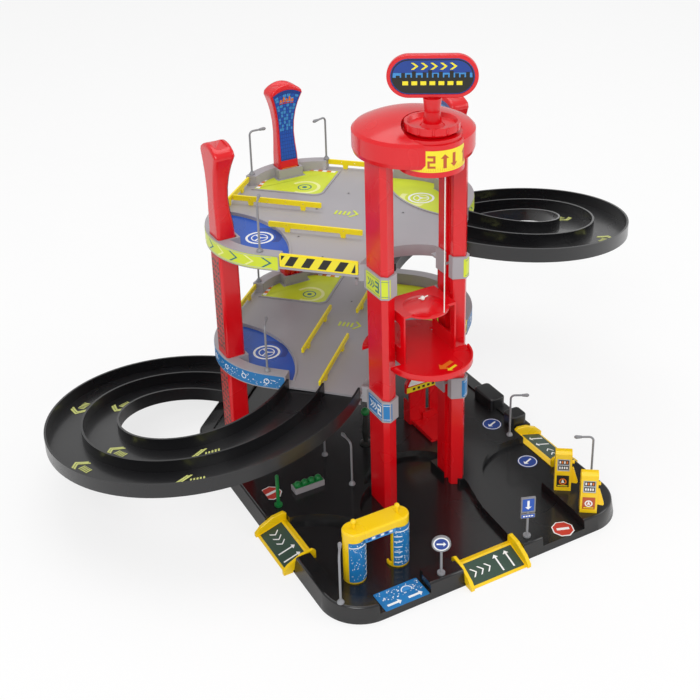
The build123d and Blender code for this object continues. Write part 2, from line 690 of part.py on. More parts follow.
def rail(x, y, z, turn, long):
    """Guard rail on two legs, each with a peg that goes into the deck."""
    h = RAIL_LIFT + RAIL_H
    body = block(-long / 2, long / 2, -RAIL_T / 2, RAIL_T / 2, RAIL_LIFT, h)
    body = fillet(body.edges().filter_by(Axis.Y), 1)
    for i in range(4):
        x0 = (i - 1.5) * long / 5
        body -= Pos(x0, 0, RAIL_LIFT + RAIL_H / 2) * Rot(90, 0, 0) * Cylinder(0.9, 9)
    for peg in rail_pegs(long):
        leg = [(peg - 3.5, RAIL_LIFT + 1), (peg - 2.5, 0), (peg + 2.5, 0), (peg + 3.5, RAIL_LIFT + 1)]
        body += extrude(make_face(Plane.XZ * Polyline(*leg, close=True)), RAIL_T / 2, both=True)
        body += rod(peg, 0, -DECK_SHEET, 1, PEG_R)
    return Pos(x, y, z) * Rot(0, 0, turn) * body


def barrier(turn, shift, z):
    """Plate across a gate with two hooks behind it."""
    w = GATE_WIDTH / 2 - 0.6
    y = DECK_HALF - 2.4
    body = block(shift - w, shift + w, y, y + 2.4, z + 0.2, z + 15)
    body = fillet(body.edges().filter_by(Axis.Y), 1.5)
    for x in (shift - w + 8, shift + w - 14):
        body += block(x, x + 6, y - 5, y + 1, z + 0.2, z + 2)
    return Rot(0, 0, turn) * body


def lamp(x, y, z, turn):
    """Street lamp: weighted foot, round pole, bent arm and small head."""
    b, h = LAMP_BEND, LAMP_H
    mid = (b * (1 - sqrt(0.5)), 0, h - b * (1 - sqrt(0.5)))
    path = Line((0, 0, 1), (0, 0, h - b)) + ThreePointArc((0, 0, h - b), mid, (b, 0, h))
    path += Line((b, 0, h), (LAMP_ARM - 4, 0, h))
    body = sweep(Plane((0, 0, 1)) * Circle(LAMP_R), path=path)
    foot = [(0, 0), (LAMP_FOOT, 0), (LAMP_FOOT, 1.2), (LAMP_R + 0.5, 4), (0, 4)]
    body += revolve(make_face(Plane.XZ * Polyline(*foot, close=True)), Axis.Z)
    head = [(0, 0), (LAMP_R + 0.3, 0), (LAMP_R + 0.9, 6), (LAMP_R, 8), (0, 8)]
    head = revolve(make_face(Plane.XZ * Polyline(*head, close=True)), Axis.Z)
    body += Pos(LAMP_ARM - 7, 0, h) * Rot(0, 90, 0) * head
    return Pos(x, y, z) * Rot(0, 0, turn) * body


def ledge_spot(gate, past, turn):
    """Place on the raised border, a given way past one end of a gate."""
    side, shift = GATES[gate]
    along = shift + past + (GATE_WIDTH / 2 if past > 0 else -GATE_WIDTH / 2)
    spot = Rot(0, 0, side) * Pos(along, DECK_HALF - LEDGE / 2, 0)
    return spot.position.X, spot.position.Y, turn


def car_wash():
    """Arch with two half-round pillars; each houses a turning brush."""
    z0 = FLOOR_LOW
    top = z0 + WASH_ROOF
    face = SlotOverall(2 * WASH_HALF, 24)
    body = Pos(WASH_X, WASH_Y, top - 8) * extrude(face, 8)
    body = fillet(body.faces().sort_by(Axis.Z)[-1].edges(), 2)
    for side in (-1, 1):
        x = WASH_X + side * (WASH_HALF - 12)
        shell = rod(x, WASH_Y, z0, top - 7, 12) & block(x - 13, x + 13, WASH_Y - 13, WASH_Y + 2, z0, top)
        shell -= rod(x, WASH_Y, z0 - 1, top - 8, 10)
        xs = sorted((x - side * 9, x - side * 14))
        shell -= block(*xs, WASH_Y - 6, WASH_Y + 3, z0 + 4, top - 8)
        body += shell
        body -= rod(x, WASH_Y, top - 20, top + 5, BRUSH_SHAFT + RUN_FIT)
    return body


def wash_roller(side):
    """Fluted brush with its spindle and turning knob."""
    x = WASH_X + side * (WASH_HALF - 12)
    z0, top = FLOOR_LOW + 0.4, FLOOR_LOW + WASH_ROOF
    body = rod(x, WASH_Y, z0, top - 9, ROLLER_R - 1)
    for i in range(6):
        fin = Rot(0, 0, 60 * i) * block(0, ROLLER_R + 1.5, -0.8, 0.8, z0 + 2, top - 11)
        body += Pos(x, WASH_Y, 0) * fin
    body += rod(x, WASH_Y, top - 10, top + 7, BRUSH_SHAFT)
    body += Pos(x, WASH_Y, top + 8) * Sphere(2.8)
    return body


def fuel_pump(x, y):
    """Pump cabinet with a sloped head, two recessed fields and a nozzle."""
    w, d, h = PUMP_W / 2, PUMP_D / 2, PUMP_H
    side = [(-d, 0), (d, 0), (d, h - 5), (d - 5, h), (-d + 3, h), (-d, h - 3)]
    body = extrude(make_face(Plane.YZ * Polyline(*side, close=True)), w, both=True)
    body = fillet(body.edges().filter_by(Axis.X).sort_by(Axis.Z)[-3:], 1.2)
    body -= block(-w + 2, w - 2, -d - 1, -d + 0.8, 4, 20)
    body -= block(-w + 2, w - 2, -d - 1, -d + 0.8, 25, 41)
    holster = [(0, 8), (0, 26), (3, 26), (8, 9), (7, 7)]
    nozzle = extrude(make_face(Plane.XZ * Polyline(*holster, close=True)), 2, both=True)
    body += Pos(w - 0.5, 0, 0) * nozzle
    body += Pos(w, 0, 34) * Rot(0, 90, 0) * Cylinder(2, 6)
    return Pos(x, y, BASE_TOP) * Rot(0, 0, -35) * body


def arrow_sign():
    body = rod(0, 0, 0, 2, 4) + rod(0, 0, 2, 30, 1.3)
    body += Pos(0, 0, 37) * Rot(90, 0, 0) * Cylinder(9.5, 2.4)
    face = Pos(0, -1.2, 37) * Rot(90, 0, 0) * Cylinder(8.3, 0.8)
    return Pos(-59, BASE_FRONT + 10, BASE_TOP) * Rot(0, 0, -30) * (body - face)


def parking_sign():
    body = rod(0, 0, 0, 2, 4) + rod(0, 0, 2, 36, 1.3)
    body += block(-7.5, 7.5, -1.2, 1.2, 31, 49) + block(-7.5, 7.5, -1.2, 1.2, 24, 29)
    body -= block(-6.3, 6.3, -2, -0.8, 32.2, 47.8)
    return Pos(48, BASE_FRONT + 13, BASE_TOP) * Rot(0, 0, -20) * body


def planter():
    box = block(-18, 18, -6, 6, FLOOR_HIGH, FLOOR_HIGH + 7)
    box -= block(-17, 17, -5, 5, FLOOR_HIGH + 2, FLOOR_HIGH + 9)
    return Pos(PLANTER_X, PLANTER_Y, 0) * box


def hedge():
    z = FLOOR_HIGH + 2
    body = block(-16.8, 16.8, -4.8, 4.8, z, z + 6)
    for i in range(4):
        body += Pos(-12.5 + 8.4 * i, 0, z + 6) * Sphere(4.2)
    return Pos(PLANTER_X, PLANTER_Y, 0) * (body & block(-16.8, 16.8, -4.8, 4.8, z, z + 12))


def green_post():
    return Pos(25 - BASE_HALF_X, -120, FLOOR_HIGH) * (rod(0, 0, 0, 2, 4.5) + rod(0, 0, 2, 38, 2) + Pos(0, 0, 38) * Sphere(2))


def tree_points():
    return [(0, 0), (7, 0), (7, 2), (3, 4), (4.5, 18), (3, 34), (2.2, 40), (0, 40)]


def tree(part):
    """Dark trunk on a foot, and the green tuft pressed on top."""
    spot = Pos(-14, -68, FLOOR_HIGH)
    if part == "trunk":
        return spot * revolve(make_face(Plane.XZ * Polyline(*tree_points(), close=True)), Axis.Z)
    tuft = Pos(0, 0, 44) * Sphere(5) - rod(0, 0, 30, 40, 9)
    return spot * tuft


def service_gantry():
    """Slotted wall with an arched header for the service hoist."""
    x, y, z = GANTRY_X, GANTRY_Y, FLOOR_HIGH
    body = block(x - 25, x + 25, y, y + 3, z, z + 48)
    body -= block(x - 3, x + 3, y - 1, y + 4, z + 3, z + 44)
    head = Pos(x, y + 2, z + 44) * Rot(90, 0, 0) * extrude(Circle(34), 4, both=False)
    head &= block(x - 31, x + 31, y - 10, y + 10, z + 46, z + 72)
    body += head
    for side in (-1, 1):
        body += block(*sorted((x + side * 23, x + side * 25)), y, y + 14, z, z + 30)
    return body


def service_hoist():
    """Small platform whose tongue runs in the slot of the gantry."""
    x, y, z = GANTRY_X, GANTRY_Y - 0.4, FLOOR_HIGH + 0.4
    body = block(x - 22, x + 22, y - 44, y, z, z + 2.5)
    for side in (-1, 1):
        body += block(*sorted((x + side * 20.5, x + side * 22)), y - 44, y, z, z + 5)
    body += block(x - 8, x + 8, y - 2, y, z, z + 12)
    body += block(x - 2.6, x + 2.6, y - 1, y + 5, z + 3, z + 11)
    body += block(x - 5, x + 5, y + 3.8, y + 5.6, z + 2, z + 12)
    return body


# ---------------------------------------------------------------- write out

LAMPS_GROUND = ((12 - BASE_HALF_X, BASE_FRONT + 24, BASE_TOP, 60), (BASE_HALF_X - 37, -140, FLOOR_HIGH, -30),
                (BASE_HALF_X - 10, BASE_FRONT + 56, BASE_TOP, 150), (-65, -128, FLOOR_HIGH, 90),
                (-66, -64, FLOOR_HIGH, 90))
LAMPS_DECK = (ledge_spot("front_left", 23, 60), ledge_spot("back_left", -23, -60),
              ledge_spot("back_left", 5.5, 0), ledge_spot("back_right", -1.3, 200))

save("base_plate", make_base())
for level in (2, 3):
    save("level_%d_deck" % level, make_deck(level))
spans = {"lower": (FLOOR_LOW, DECK_ROAD[2]), "middle": (DECK_ROAD[2], DECK_ROAD[3]),
         "upper": (DECK_ROAD[3], CAP_BOTTOM + CAP_SIDE - 1)}
for name, (z0, z1) in spans.items():
    for side, hand in ((-1, "left"), (1, "right")):
        save("lift_column_%s_%s" % (hand, name), lift_column(side, z0, z1 - 3))
for hand, turn in (("left", 0), ("back", 90), ("right", 180)):
    save("corner_column_%s_lower" % hand, corner_column(FLOOR_LOW, DECK_ROAD[2] - 2, turn))
    save("corner_column_%s_upper" % hand, corner_column(DECK_ROAD[2], DECK_ROAD[3] - 2, turn))
    save("finial_%s" % hand, finial(turn))
save("lift_cap", make_cap())
save("winder_knob", make_winder())
save("sign_frame", *make_sign(False))
save("sign_panels", *make_sign(True))
save("winch_spool", make_spool())
save("hoist_string", hoist_string())
save("string_knot", make_knot())
save("lift_cabin", make_cabin())
save("left_spiral_ramp", left_ring(DECK_ROAD[2] - RING_DROP, BASE_TOP + RING_SHEET + 0.4))
right = left_ring(DECK_ROAD[3] - RING_DROP, DECK_ROAD[2] + RING_SHEET + 0.4)
save("right_spiral_ramp", mirror(right, about=Plane.YZ))
for which in ENTRIES:
    save("entry_ramp_%s" % which, entry_ramp(which))
save("car_wash_arch", car_wash())
save("wash_brush_left", wash_roller(-1))
save("wash_brush_right", wash_roller(1))
save("fuel_pump_1", fuel_pump(PUMP_X, BASE_FRONT + 60))
save("fuel_pump_2", fuel_pump(PUMP_X, BASE_FRONT + 16))
save("street_lamps_ground", *[lamp(*spot) for spot in LAMPS_GROUND])
for level in (2, 3):
    z = DECK_ROAD[level]
    save("street_lamps_level_%d" % level, *[lamp(x, y, z + RIM_UP, turn) for x, y, turn in LAMPS_DECK])
    save("guard_rails_level_%d" % level, *[rail(x, y, z, turn, long) for x, y, turn, long in rail_places(level)])
save("hazard_barrier_level_2", barrier(*GATES["front_right"], DECK_ROAD[2]))
save("hazard_barrier_level_3", barrier(*GATES["front_left"], DECK_ROAD[3]))
save("round_arrow_sign", arrow_sign())
save("parking_sign", parking_sign())
save("planter_box", planter())
save("hedge", hedge())
save("green_post", green_post())
save("tree_trunk", tree("trunk"))
save("tree_top", tree("top"))
save("service_gantry", service_gantry())
save("service_hoist", service_hoist())
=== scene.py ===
import random
from math import atan2, cos, degrees, hypot, pi, radians, sin, sqrt

import bmesh
import bpy
from mathutils import Matrix, Vector


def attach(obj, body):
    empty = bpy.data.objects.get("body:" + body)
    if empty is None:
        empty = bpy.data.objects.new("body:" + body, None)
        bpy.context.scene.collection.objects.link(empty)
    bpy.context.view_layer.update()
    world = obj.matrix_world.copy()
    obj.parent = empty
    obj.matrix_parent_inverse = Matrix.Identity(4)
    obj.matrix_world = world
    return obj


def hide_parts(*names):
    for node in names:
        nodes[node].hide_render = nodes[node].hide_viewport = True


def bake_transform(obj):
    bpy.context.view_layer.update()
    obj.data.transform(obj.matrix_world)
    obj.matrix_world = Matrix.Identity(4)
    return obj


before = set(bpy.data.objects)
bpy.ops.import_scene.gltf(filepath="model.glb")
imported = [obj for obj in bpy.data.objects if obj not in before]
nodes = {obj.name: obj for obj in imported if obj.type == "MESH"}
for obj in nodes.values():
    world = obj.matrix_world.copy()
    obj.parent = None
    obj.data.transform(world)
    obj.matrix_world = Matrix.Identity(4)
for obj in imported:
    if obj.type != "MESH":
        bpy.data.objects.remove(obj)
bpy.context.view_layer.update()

MM = 0.001
UP = Vector((0, 0, 1))

# Sizes of the CAD source that the stickers follow, in millimetres.
ROAD = {2: 135.0, 3: 280.0}
DECK_HALF = 140.0
DECK_R = 92.0
DECK_TIP = DECK_HALF * sqrt(2)
CORNER = DECK_HALF - DECK_R
KERB = 14.2
BAY_KERB = 14.4
PAD_DROP = 2.5
PAD_R = 117.2
PAD_EDGE_X = 131.5
POST_CLEAR = 17
POST_FACE = 157.0
FLOOR_LOW = 8.0
FLOOR_HIGH = 16.0
BASE_TOP = 18.0
BASE_FRONT = -312.0
BASE_HALF_X = 177.0
SIDE_ENTRY_Y = -171.0
ENTRY_SLOPE = 8.8 / 30
RING_AT = 178.0
RING_R = 143.1
RING_FIRST = 50.7
LANE_OUT = 20.6
RING_Z = {-1: (20.4, 131.8), 1: (137.4, 276.8)}
SPINDLE_Y = -189.99
DRUM_Y = -187.99
SIGN_Z = 495.0
SIGN_TURN = -32.0
SIGN_FACE = 2.7
CABIN_FLOOR = 190.0
WASH_Y = -252.0
PUMP_TURN = -35.0

# Heights of the printed film above its surface, in millimetres.
FILM_LOW = 0.04
FILM_HIGH = 0.22
INK_LOW = 0.15
INK_STEP = 0.09


# ---------------------------------------------------------------- materials

def tone(code, shade=1.0):
    """Linear colour of a hex code, lighter or darker by a factor."""
    out = []
    for i in (0, 2, 4):
        c = int(code[i:i + 2], 16) / 255
        c = c / 12.92 if c <= 0.04045 else ((c + 0.055) / 1.055) ** 2.4
        out.append(min(1.0, c * shade))
    return (*out, 1.0)


def plastic(name, code, rough=0.3, vary=0.09, patch=22.0, grain=600.0, bump=0.03, coat=0.0):
    """Moulded or printed surface: slightly uneven colour and gloss, fine grain."""
    mat = bpy.data.materials.new(name)
    mat.use_nodes = True
    tree = mat.node_tree
    shader = tree.nodes["Principled BSDF"]
    coord = tree.nodes.new("ShaderNodeTexCoord")

    def noise(scale, detail):
        node = tree.nodes.new("ShaderNodeTexNoise")
        node.inputs["Scale"].default_value = scale
        node.inputs["Detail"].default_value = detail
        tree.links.new(coord.outputs["Object"], node.inputs["Vector"])
        return node

    mix = tree.nodes.new("ShaderNodeMix")
    mix.data_type = "RGBA"
    mix.inputs[6].default_value = tone(code, 1 - vary)
    mix.inputs[7].default_value = tone(code, 1 + vary)
    tree.links.new(noise(patch, 2).outputs["Fac"], mix.inputs[0])
    tree.links.new(mix.outputs[2], shader.inputs["Base Color"])
    gloss = tree.nodes.new("ShaderNodeMapRange")
    gloss.inputs["From Min"].default_value = 0.3
    gloss.inputs["From Max"].default_value = 0.7
    gloss.inputs["To Min"].default_value = rough - 0.03
    gloss.inputs["To Max"].default_value = rough + 0.05
    tree.links.new(noise(patch, 1).outputs["Fac"], gloss.inputs["Value"])
    tree.links.new(gloss.outputs["Result"], shader.inputs["Roughness"])
    relief = tree.nodes.new("ShaderNodeBump")
    relief.inputs["Strength"].default_value = bump
    relief.inputs["Distance"].default_value = 0.0001
    tree.links.new(noise(grain, 2).outputs["Fac"], relief.inputs["Height"])
    tree.links.new(relief.outputs["Normal"], shader.inputs["Normal"])
    shader.inputs["Coat Weight"].default_value = coat
    shader.inputs["Coat Roughness"].default_value = 0.12
    return mat


def twisted(name, code):
    """White cord: twisted strands as bands running round it."""
    mat = plastic(name, code, rough=0.7, vary=0.05)
    tree = mat.node_tree
    coord = next(n for n in tree.nodes if n.type == "TEX_COORD")
    wave = tree.nodes.new("ShaderNodeTexWave")
    wave.bands_direction = "DIAGONAL"
    wave.inputs["Scale"].default_value = 520.0
    tree.links.new(coord.outputs["Object"], wave.inputs["Vector"])
    relief = next(n for n in tree.nodes if n.type == "BUMP")
    relief.inputs["Strength"].default_value = 0.8
    tree.links.new(wave.outputs["Fac"], relief.inputs["Height"])
    return mat


RED = plastic("red_gloss", "dc0312", rough=0.24, coat=0.25, vary=0.05)
GREY = plastic("deck_grey", "a5a2a6", rough=0.42, vary=0.06, bump=0.12)
LAMP = plastic("lamp_grey", "8b8c90", rough=0.35)
BLACK = plastic("base_black", "161617", rough=0.24, vary=0.12, patch=9.0, coat=0.3, bump=0.02)
TRACK = plastic("track_black", "171719", rough=0.28, vary=0.12, patch=9.0, coat=0.25, bump=0.03)
YELLOW = plastic("yellow_gloss", "ffd208", rough=0.28, coat=0.2, vary=0.05)
RAIL = plastic("rail_yellow", "ffe60c", rough=0.32, vary=0.04)
LANE = plastic("print_lane", "cdd27c", rough=0.4, vary=0.12, patch=300.0)
GREEN = plastic("plant_green", "0f7a38", rough=0.4, vary=0.25, patch=90.0, bump=0.3)
TRUNK = plastic("trunk_black", "1c1e1c", rough=0.45, vary=0.3, patch=60.0)
CORD = twisted("white_cord", "f4f2ec")
INK = plastic("print_black", "1b1a16", rough=0.4)
WHITE = plastic("print_white", "f6f7f6", rough=0.4, vary=0.03)
LIME = plastic("print_lime", "d2e02e", rough=0.33, vary=0.1, patch=40.0)
LIME_PALE = plastic("print_pale_lime", "eef29a", rough=0.33, vary=0.08, patch=60.0)
BLUE = plastic("print_blue", "1d55b8", rough=0.3, vary=0.12, patch=30.0)
DEEP_BLUE = plastic("print_deep_blue", "173f93", rough=0.3, vary=0.12, patch=30.0)
WASH_BLUE = plastic("print_wash_blue", "1c78b8", rough=0.32, vary=0.2, patch=60.0)
SKY = plastic("print_sky", "3f8fd0", rough=0.35, vary=0.2, patch=50.0)
ORANGE = plastic("print_orange", "e8791c", rough=0.35)
RUST = plastic("print_rust", "c0562a", rough=0.35)
STOP_RED = plastic("print_red", "c93a2c", rough=0.35, vary=0.12)
ROAD_GREEN = plastic("print_road_green", "2f4a3c", rough=0.4, vary=0.15, patch=60.0)
BAND_YELLOW = plastic("print_yellow", "f6e52a", rough=0.33, vary=0.06)
TREAD = plastic("print_tread", "c0403c", rough=0.5, vary=0.2, patch=120.0)
TREAD_DARK = plastic("print_tread_dark", "4a443e", rough=0.5, vary=0.3, patch=160.0)
SILVER = plastic("print_silver", "b8bcc0", rough=0.35, vary=0.1, patch=90.0)
TEAL = plastic("print_teal", "1f6f78", rough=0.35, vary=0.15)

NODE_PAINT = {
    RED: ("lift_column_", "corner_column_", "finial_", "lift_cap", "winder_knob", "sign_frame",
          "winch_spool", "lift_cabin", "service_gantry", "service_hoist"),
    GREY: ("level_", "planter_box"),
    LAMP: ("street_lamps_", "round_arrow_sign", "parking_sign"),
    BLACK: ("base_plate",),
    TRACK: ("left_spiral_ramp", "right_spiral_ramp"),
    YELLOW: ("entry_ramp_", "car_wash_arch", "wash_brush_", "fuel_pump_"),
    RAIL: ("guard_rails_", "hazard_barrier_"),
    GREEN: ("hedge", "green_post", "tree_top"),
    TRUNK: ("tree_trunk",),
    CORD: ("hoist_string", "string_knot"),
    DEEP_BLUE: ("sign_panels",),
}
for mat, starts in NODE_PAINT.items():
    for name, node in nodes.items():
        if name.startswith(starts):
            node.data.materials.clear()
            node.data.materials.append(mat)


def soften(names, width):
    """Small rounding on the moulded edges, so that they catch the light."""
    for name, node in nodes.items():
        if name.startswith(names):
            weld = node.modifiers.new("weld", "WELD")
            weld.merge_threshold = 0.00002
            bevel = node.modifiers.new("bevel", "BEVEL")
            bevel.width = width * MM
            bevel.segments = 2
            bevel.limit_method = "ANGLE"
            bevel.angle_limit = radians(35)
            bevel.use_clamp_overlap = True
            bevel.harden_normals = True


soften(("base_plate", "level_"), 0.5)
soften(("lift_column_", "corner_column_", "lift_cabin", "car_wash_arch", "fuel_pump_", "planter_box"), 0.35)


# ---------------------------------------------------------------- stickers

def flat(origin, right, up):
    """Place for a flat sticker, from its middle and its two directions."""
    o, r, u = Vector(origin), Vector(right).normalized(), Vector(up).normalized()
    n = r.cross(u)
    return lambda x, y, h: o + r * x + u * y + n * h


def turned(angle):
    return Matrix.Rotation(radians(angle), 3, "Z")


def on_floor(x, y, z, turn=0.0):
    """Place for a sticker that lies flat; turn 0 points along +x."""
    a = radians(turn)
    return flat((x, y, z), (cos(a), sin(a), 0), (-sin(a), cos(a), 0))


def on_wall(origin, turn=0.0):
    """Upright sticker; turn 0 faces the front."""
    a = radians(turn)
    return flat(origin, (cos(a), sin(a), 0), UP)


def on_piece(spot, turn, out):
    """Upright sticker on the front face of a small piece turned about its foot."""
    spin = turned(turn)
    return flat(Vector(spot) + spin @ Vector((0, -out, 0)), spin @ Vector((1, 0, 0)), UP)


def along_path(points, z0):
    """Upright sticker that follows a line in plan, read from left to right, and its length."""
    pts = [Vector((*p, 0)) for p in points]
    runs = [(b - a).length for a, b in zip(pts, pts[1:])]

    def place(s, y, h):
        i = 0
        while i < len(runs) - 1 and s > runs[i]:
            s -= runs[i]
            i += 1
        step = (pts[i + 1] - pts[i]).normalized()
        return pts[i] + step * s + step.cross(UP) * h + UP * (z0 + y)

    return place, sum(runs)


def circle_point(cx, cy, r, degs):
    return cx + r * cos(radians(degs)), cy + r * sin(radians(degs))


def arc(cx, cy, r, a0, a1, n=24):
    return [circle_point(cx, cy, r, a0 + (a1 - a0) * i / n) for i in range(n + 1)]


def to_plan(points):
    """Points of the decks' own frame, whose sides lie along its axes, in the row frame."""
    s = sqrt(0.5)
    return [((u - v) * s, (u + v) * s) for u, v in points]


def mirrored(points):
    return [(-x, y) for x, y in reversed(points)]


def link(name, mesh):
    obj = bpy.data.objects.new(name, mesh)
    bpy.context.scene.collection.objects.link(obj)
    return obj


class Sticker:
    """Printed film: outlines at low heights, laid on a surface by its place."""

    def __init__(self, name, body, place, *paints):
        self.name = name
        self.body = body
        self.place = place
        self.paints = paints
        self.bm = bmesh.new()

    def shape(self, points, low, high, paint):
        index = self.paints.index(paint)
        rings = [[self.bm.verts.new((x, y, h)) for x, y in points] for h in (low, high)]
        area = sum(a[0] * b[1] - b[0] * a[1] for a, b in zip(points, points[1:] + points[:1]))
        if area < 0:
            rings = [r[::-1] for r in rings]
        faces = [self.bm.faces.new(rings[0][::-1]), self.bm.faces.new(rings[1])]
        n = len(points)
        for i in range(n):
            j = (i + 1) % n
            faces.append(self.bm.faces.new((rings[0][i], rings[0][j], rings[1][j], rings[1][i])))
        for f in faces:
            f.material_index = index
        return self

    def base(self, points, paint):
        return self.shape(points, FILM_LOW, FILM_HIGH, paint)

    def ink(self, points, paint, level=1):
        return self.shape(points, INK_LOW, FILM_HIGH + INK_STEP * level, paint)

    def box(self, x0, x1, y0, y1, paint, level=1):
        return self.ink([(x0, y0), (x1, y0), (x1, y1), (x0, y1)], paint, level)

    def dot(self, x, y, r, paint, level=1, n=12):
        return self.ink([circle_point(x, y, r, 360 * i / n) for i in range(n)], paint, level)

    def ring(self, x, y, r0, r1, paint, level=1, n=36, a0=0.0, a1=360.0):
        inner, outer = arc(x, y, r0, a0, a1, n), arc(x, y, r1, a0, a1, n)
        for i in range(n):
            self.ink([inner[i], outer[i], outer[i + 1], inner[i + 1]], paint, level)
        return self

    def chevron(self, x, y, reach, half, thick, paint, level=1):
        """Open arrow head that points along +x."""
        return self.ink([(x, y - half), (x + reach, y), (x, y + half), (x + thick, y + half),
                         (x + thick + reach, y), (x + thick, y - half)], paint, level)

    def arrow(self, x, y, turn, long, wide, paint, level=1, head=2.6):
        """Straight arrow about its middle; turn 0 points along +x."""
        w, k = wide / 2, wide * head / 2
        h = long / 2 - k
        pts = [(-long / 2, -w), (h, -w), (h, -k), (long / 2, 0), (h, k), (h, w), (-long / 2, w)]
        c, s = cos(radians(turn)), sin(radians(turn))
        return self.ink([(x + px * c - py * s, y + px * s + py * c) for px, py in pts], paint, level)

    def digit(self, number, x, y, high, paint, level=1):
        """Plain numeral of straight bars, centred on x and y."""
        w, t, h = high * 0.3, high * 0.17, high / 2
        bars = {"a": (-w, w, h - t, h), "g": (-w, w, -t / 2, t / 2), "d": (-w, w, -h, t - h),
                "b": (w - t, w, 0, h), "c": (w - t, w, -h, 0), "e": (-w, t - w, -h, 0)}
        for i, key in enumerate({2: "abged", 3: "abgcd"}[number]):
            x0, x1, y0, y1 = bars[key]
            self.shape([(x + x0, y + y0), (x + x1, y + y0), (x + x1, y + y1), (x + x0, y + y1)],
                       INK_LOW, FILM_HIGH + INK_STEP * level + 0.002 * i, paint)
        return self

    def done(self, cut=None):
        """Cut the film in steps where it bends, lay it on its surface and let it ride."""
        if cut:
            xs = [v.co.x for v in self.bm.verts]
            x = min(xs) + cut
            while x < max(xs):
                geom = self.bm.verts[:] + self.bm.edges[:] + self.bm.faces[:]
                bmesh.ops.bisect_plane(self.bm, geom=geom, plane_co=(x, 0, 0), plane_no=(1, 0, 0))
                x += cut
        for v in self.bm.verts:
            v.co = self.place(*v.co) * MM
        mesh = bpy.data.meshes.new(self.name)
        self.bm.to_mesh(mesh)
        self.bm.free()
        for paint in self.paints:
            mesh.materials.append(paint)
        obj = link(self.name, mesh)
        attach(obj, self.body)


def rounded(x0, x1, y0, y1, r, n=5):
    """Rectangle with rounded corners."""
    pts = []
    corners = ((x1 - r, y0 + r, -90), (x1 - r, y1 - r, 0), (x0 + r, y1 - r, 90), (x0 + r, y0 + r, 180))
    for cx, cy, a in corners:
        pts += arc(cx, cy, r, a, a + 90, n)
    return pts


def dots(sticker, x0, x1, y0, y1, count, seed, small, big):
    """White dots strewn over a rectangle."""
    rng = random.Random(seed)
    for i in range(count):
        r = rng.uniform(small, big)
        x, y = rng.uniform(x0 + big, x1 - big), rng.uniform(y0 + big, y1 - big)
        sticker.dot(x, y, r, WHITE, 1 + 0.03 * (i % 7), 8)


# --- decks: corner bands, level numbers, pads, bays, arrows ---

def corner_path(side):
    """Outline of a deck round its left or right corner, from gate end to gate end."""
    path = [(-26.5, DECK_HALF)] + arc(-CORNER, CORNER, DECK_R, 90, 180, 28) + [(-DECK_HALF, 26.5)]
    pts = to_plan(path)
    return mirrored(pts) if side > 0 else pts


for level, ground in ((2, WASH_BLUE), (3, LIME)):
    for hand, side in (("left", -1), ("right", 1)):
        place, long = along_path(corner_path(side), ROAD[level])
        band = Sticker("corner_band_%s_%d" % (hand, level), "tower", place,
                       ground, WHITE, TEAL, SILVER, LIME_PALE)
        band.base(rounded(1.2, long - 1.2, -4.6, 10.6, 1.5), ground)
        if level == 2:
            dots(band, 6, long - 6, -3.8, 9.8, 110, 5, 0.25, 0.7)
            for k in range(6):
                band.ring(22 + k * (long - 44) / 5, 3, 2.4, 3.3, WHITE, 2, 14)
        else:
            for k in range(9):
                band.chevron(8 + k * (long - 28) / 8, 3, 9, 5.5, 3, LIME_PALE if k % 2 else TEAL)
            band.box(8, long - 8, -3.6, -3.0, SILVER)
            band.box(8, long - 8, 9.0, 9.6, SILVER)
        band.done(cut=4.0)
    ink = WHITE if level == 2 else TEAL
    for hand, side in (("left", -1), ("right", 1)):
        collar = [(-53, -147.5), (-53, -178), (-46, -183), (-33, -177)]
        place, long = along_path(mirrored(collar) if side > 0 else collar, ROAD[level])
        start, number_at, arrows_at = (2, 22.5, 3) if side < 0 else (long - 42, 17.5, 24)
        tag = Sticker("level_number_%s_%d" % (hand, level), "tower", place, ground, WHITE, TEAL)
        tag.base(rounded(start, start + 40, -11, 9.5, 1.0), ground)
        tag.digit(level, start + number_at, -0.7, 12, ink, 2)
        for k in range(3):
            tag.chevron(start + arrows_at + k * 4.5, -0.7, 4, 4.3, 1.8, ink)
        tag.box(start + 2, start + 38, 7.4, 7.9, ink)
        tag.box(start + 2, start + 38, -9.4, -8.9, ink)
        tag.done(cut=3.0)


def pad_outline():
    """Outline of the sunk corner pad at the left, clear of the kerb, border and post."""
    line = [(KERB - DECK_HALF, v) for v in range(0, int(CORNER) + 1, 2)]
    corner = arc(-CORNER, CORNER, DECK_R - KERB, 180, 135, 16)
    front = [p for p in to_plan(line + corner) if hypot(p[0] + DECK_TIP, p[1]) < PAD_R]
    front = [p for p in front if not (p[1] > -POST_CLEAR and p[0] < -130)]
    a = degrees(atan2(-front[0][1], front[0][0] + DECK_TIP))
    side = front + [(front[-1][0], -POST_CLEAR), (-PAD_EDGE_X, -POST_CLEAR)]
    return side + [(x, -y) for x, y in reversed(side)] + arc(-DECK_TIP, 0, PAD_R, a, -a, 30)[1:-1]


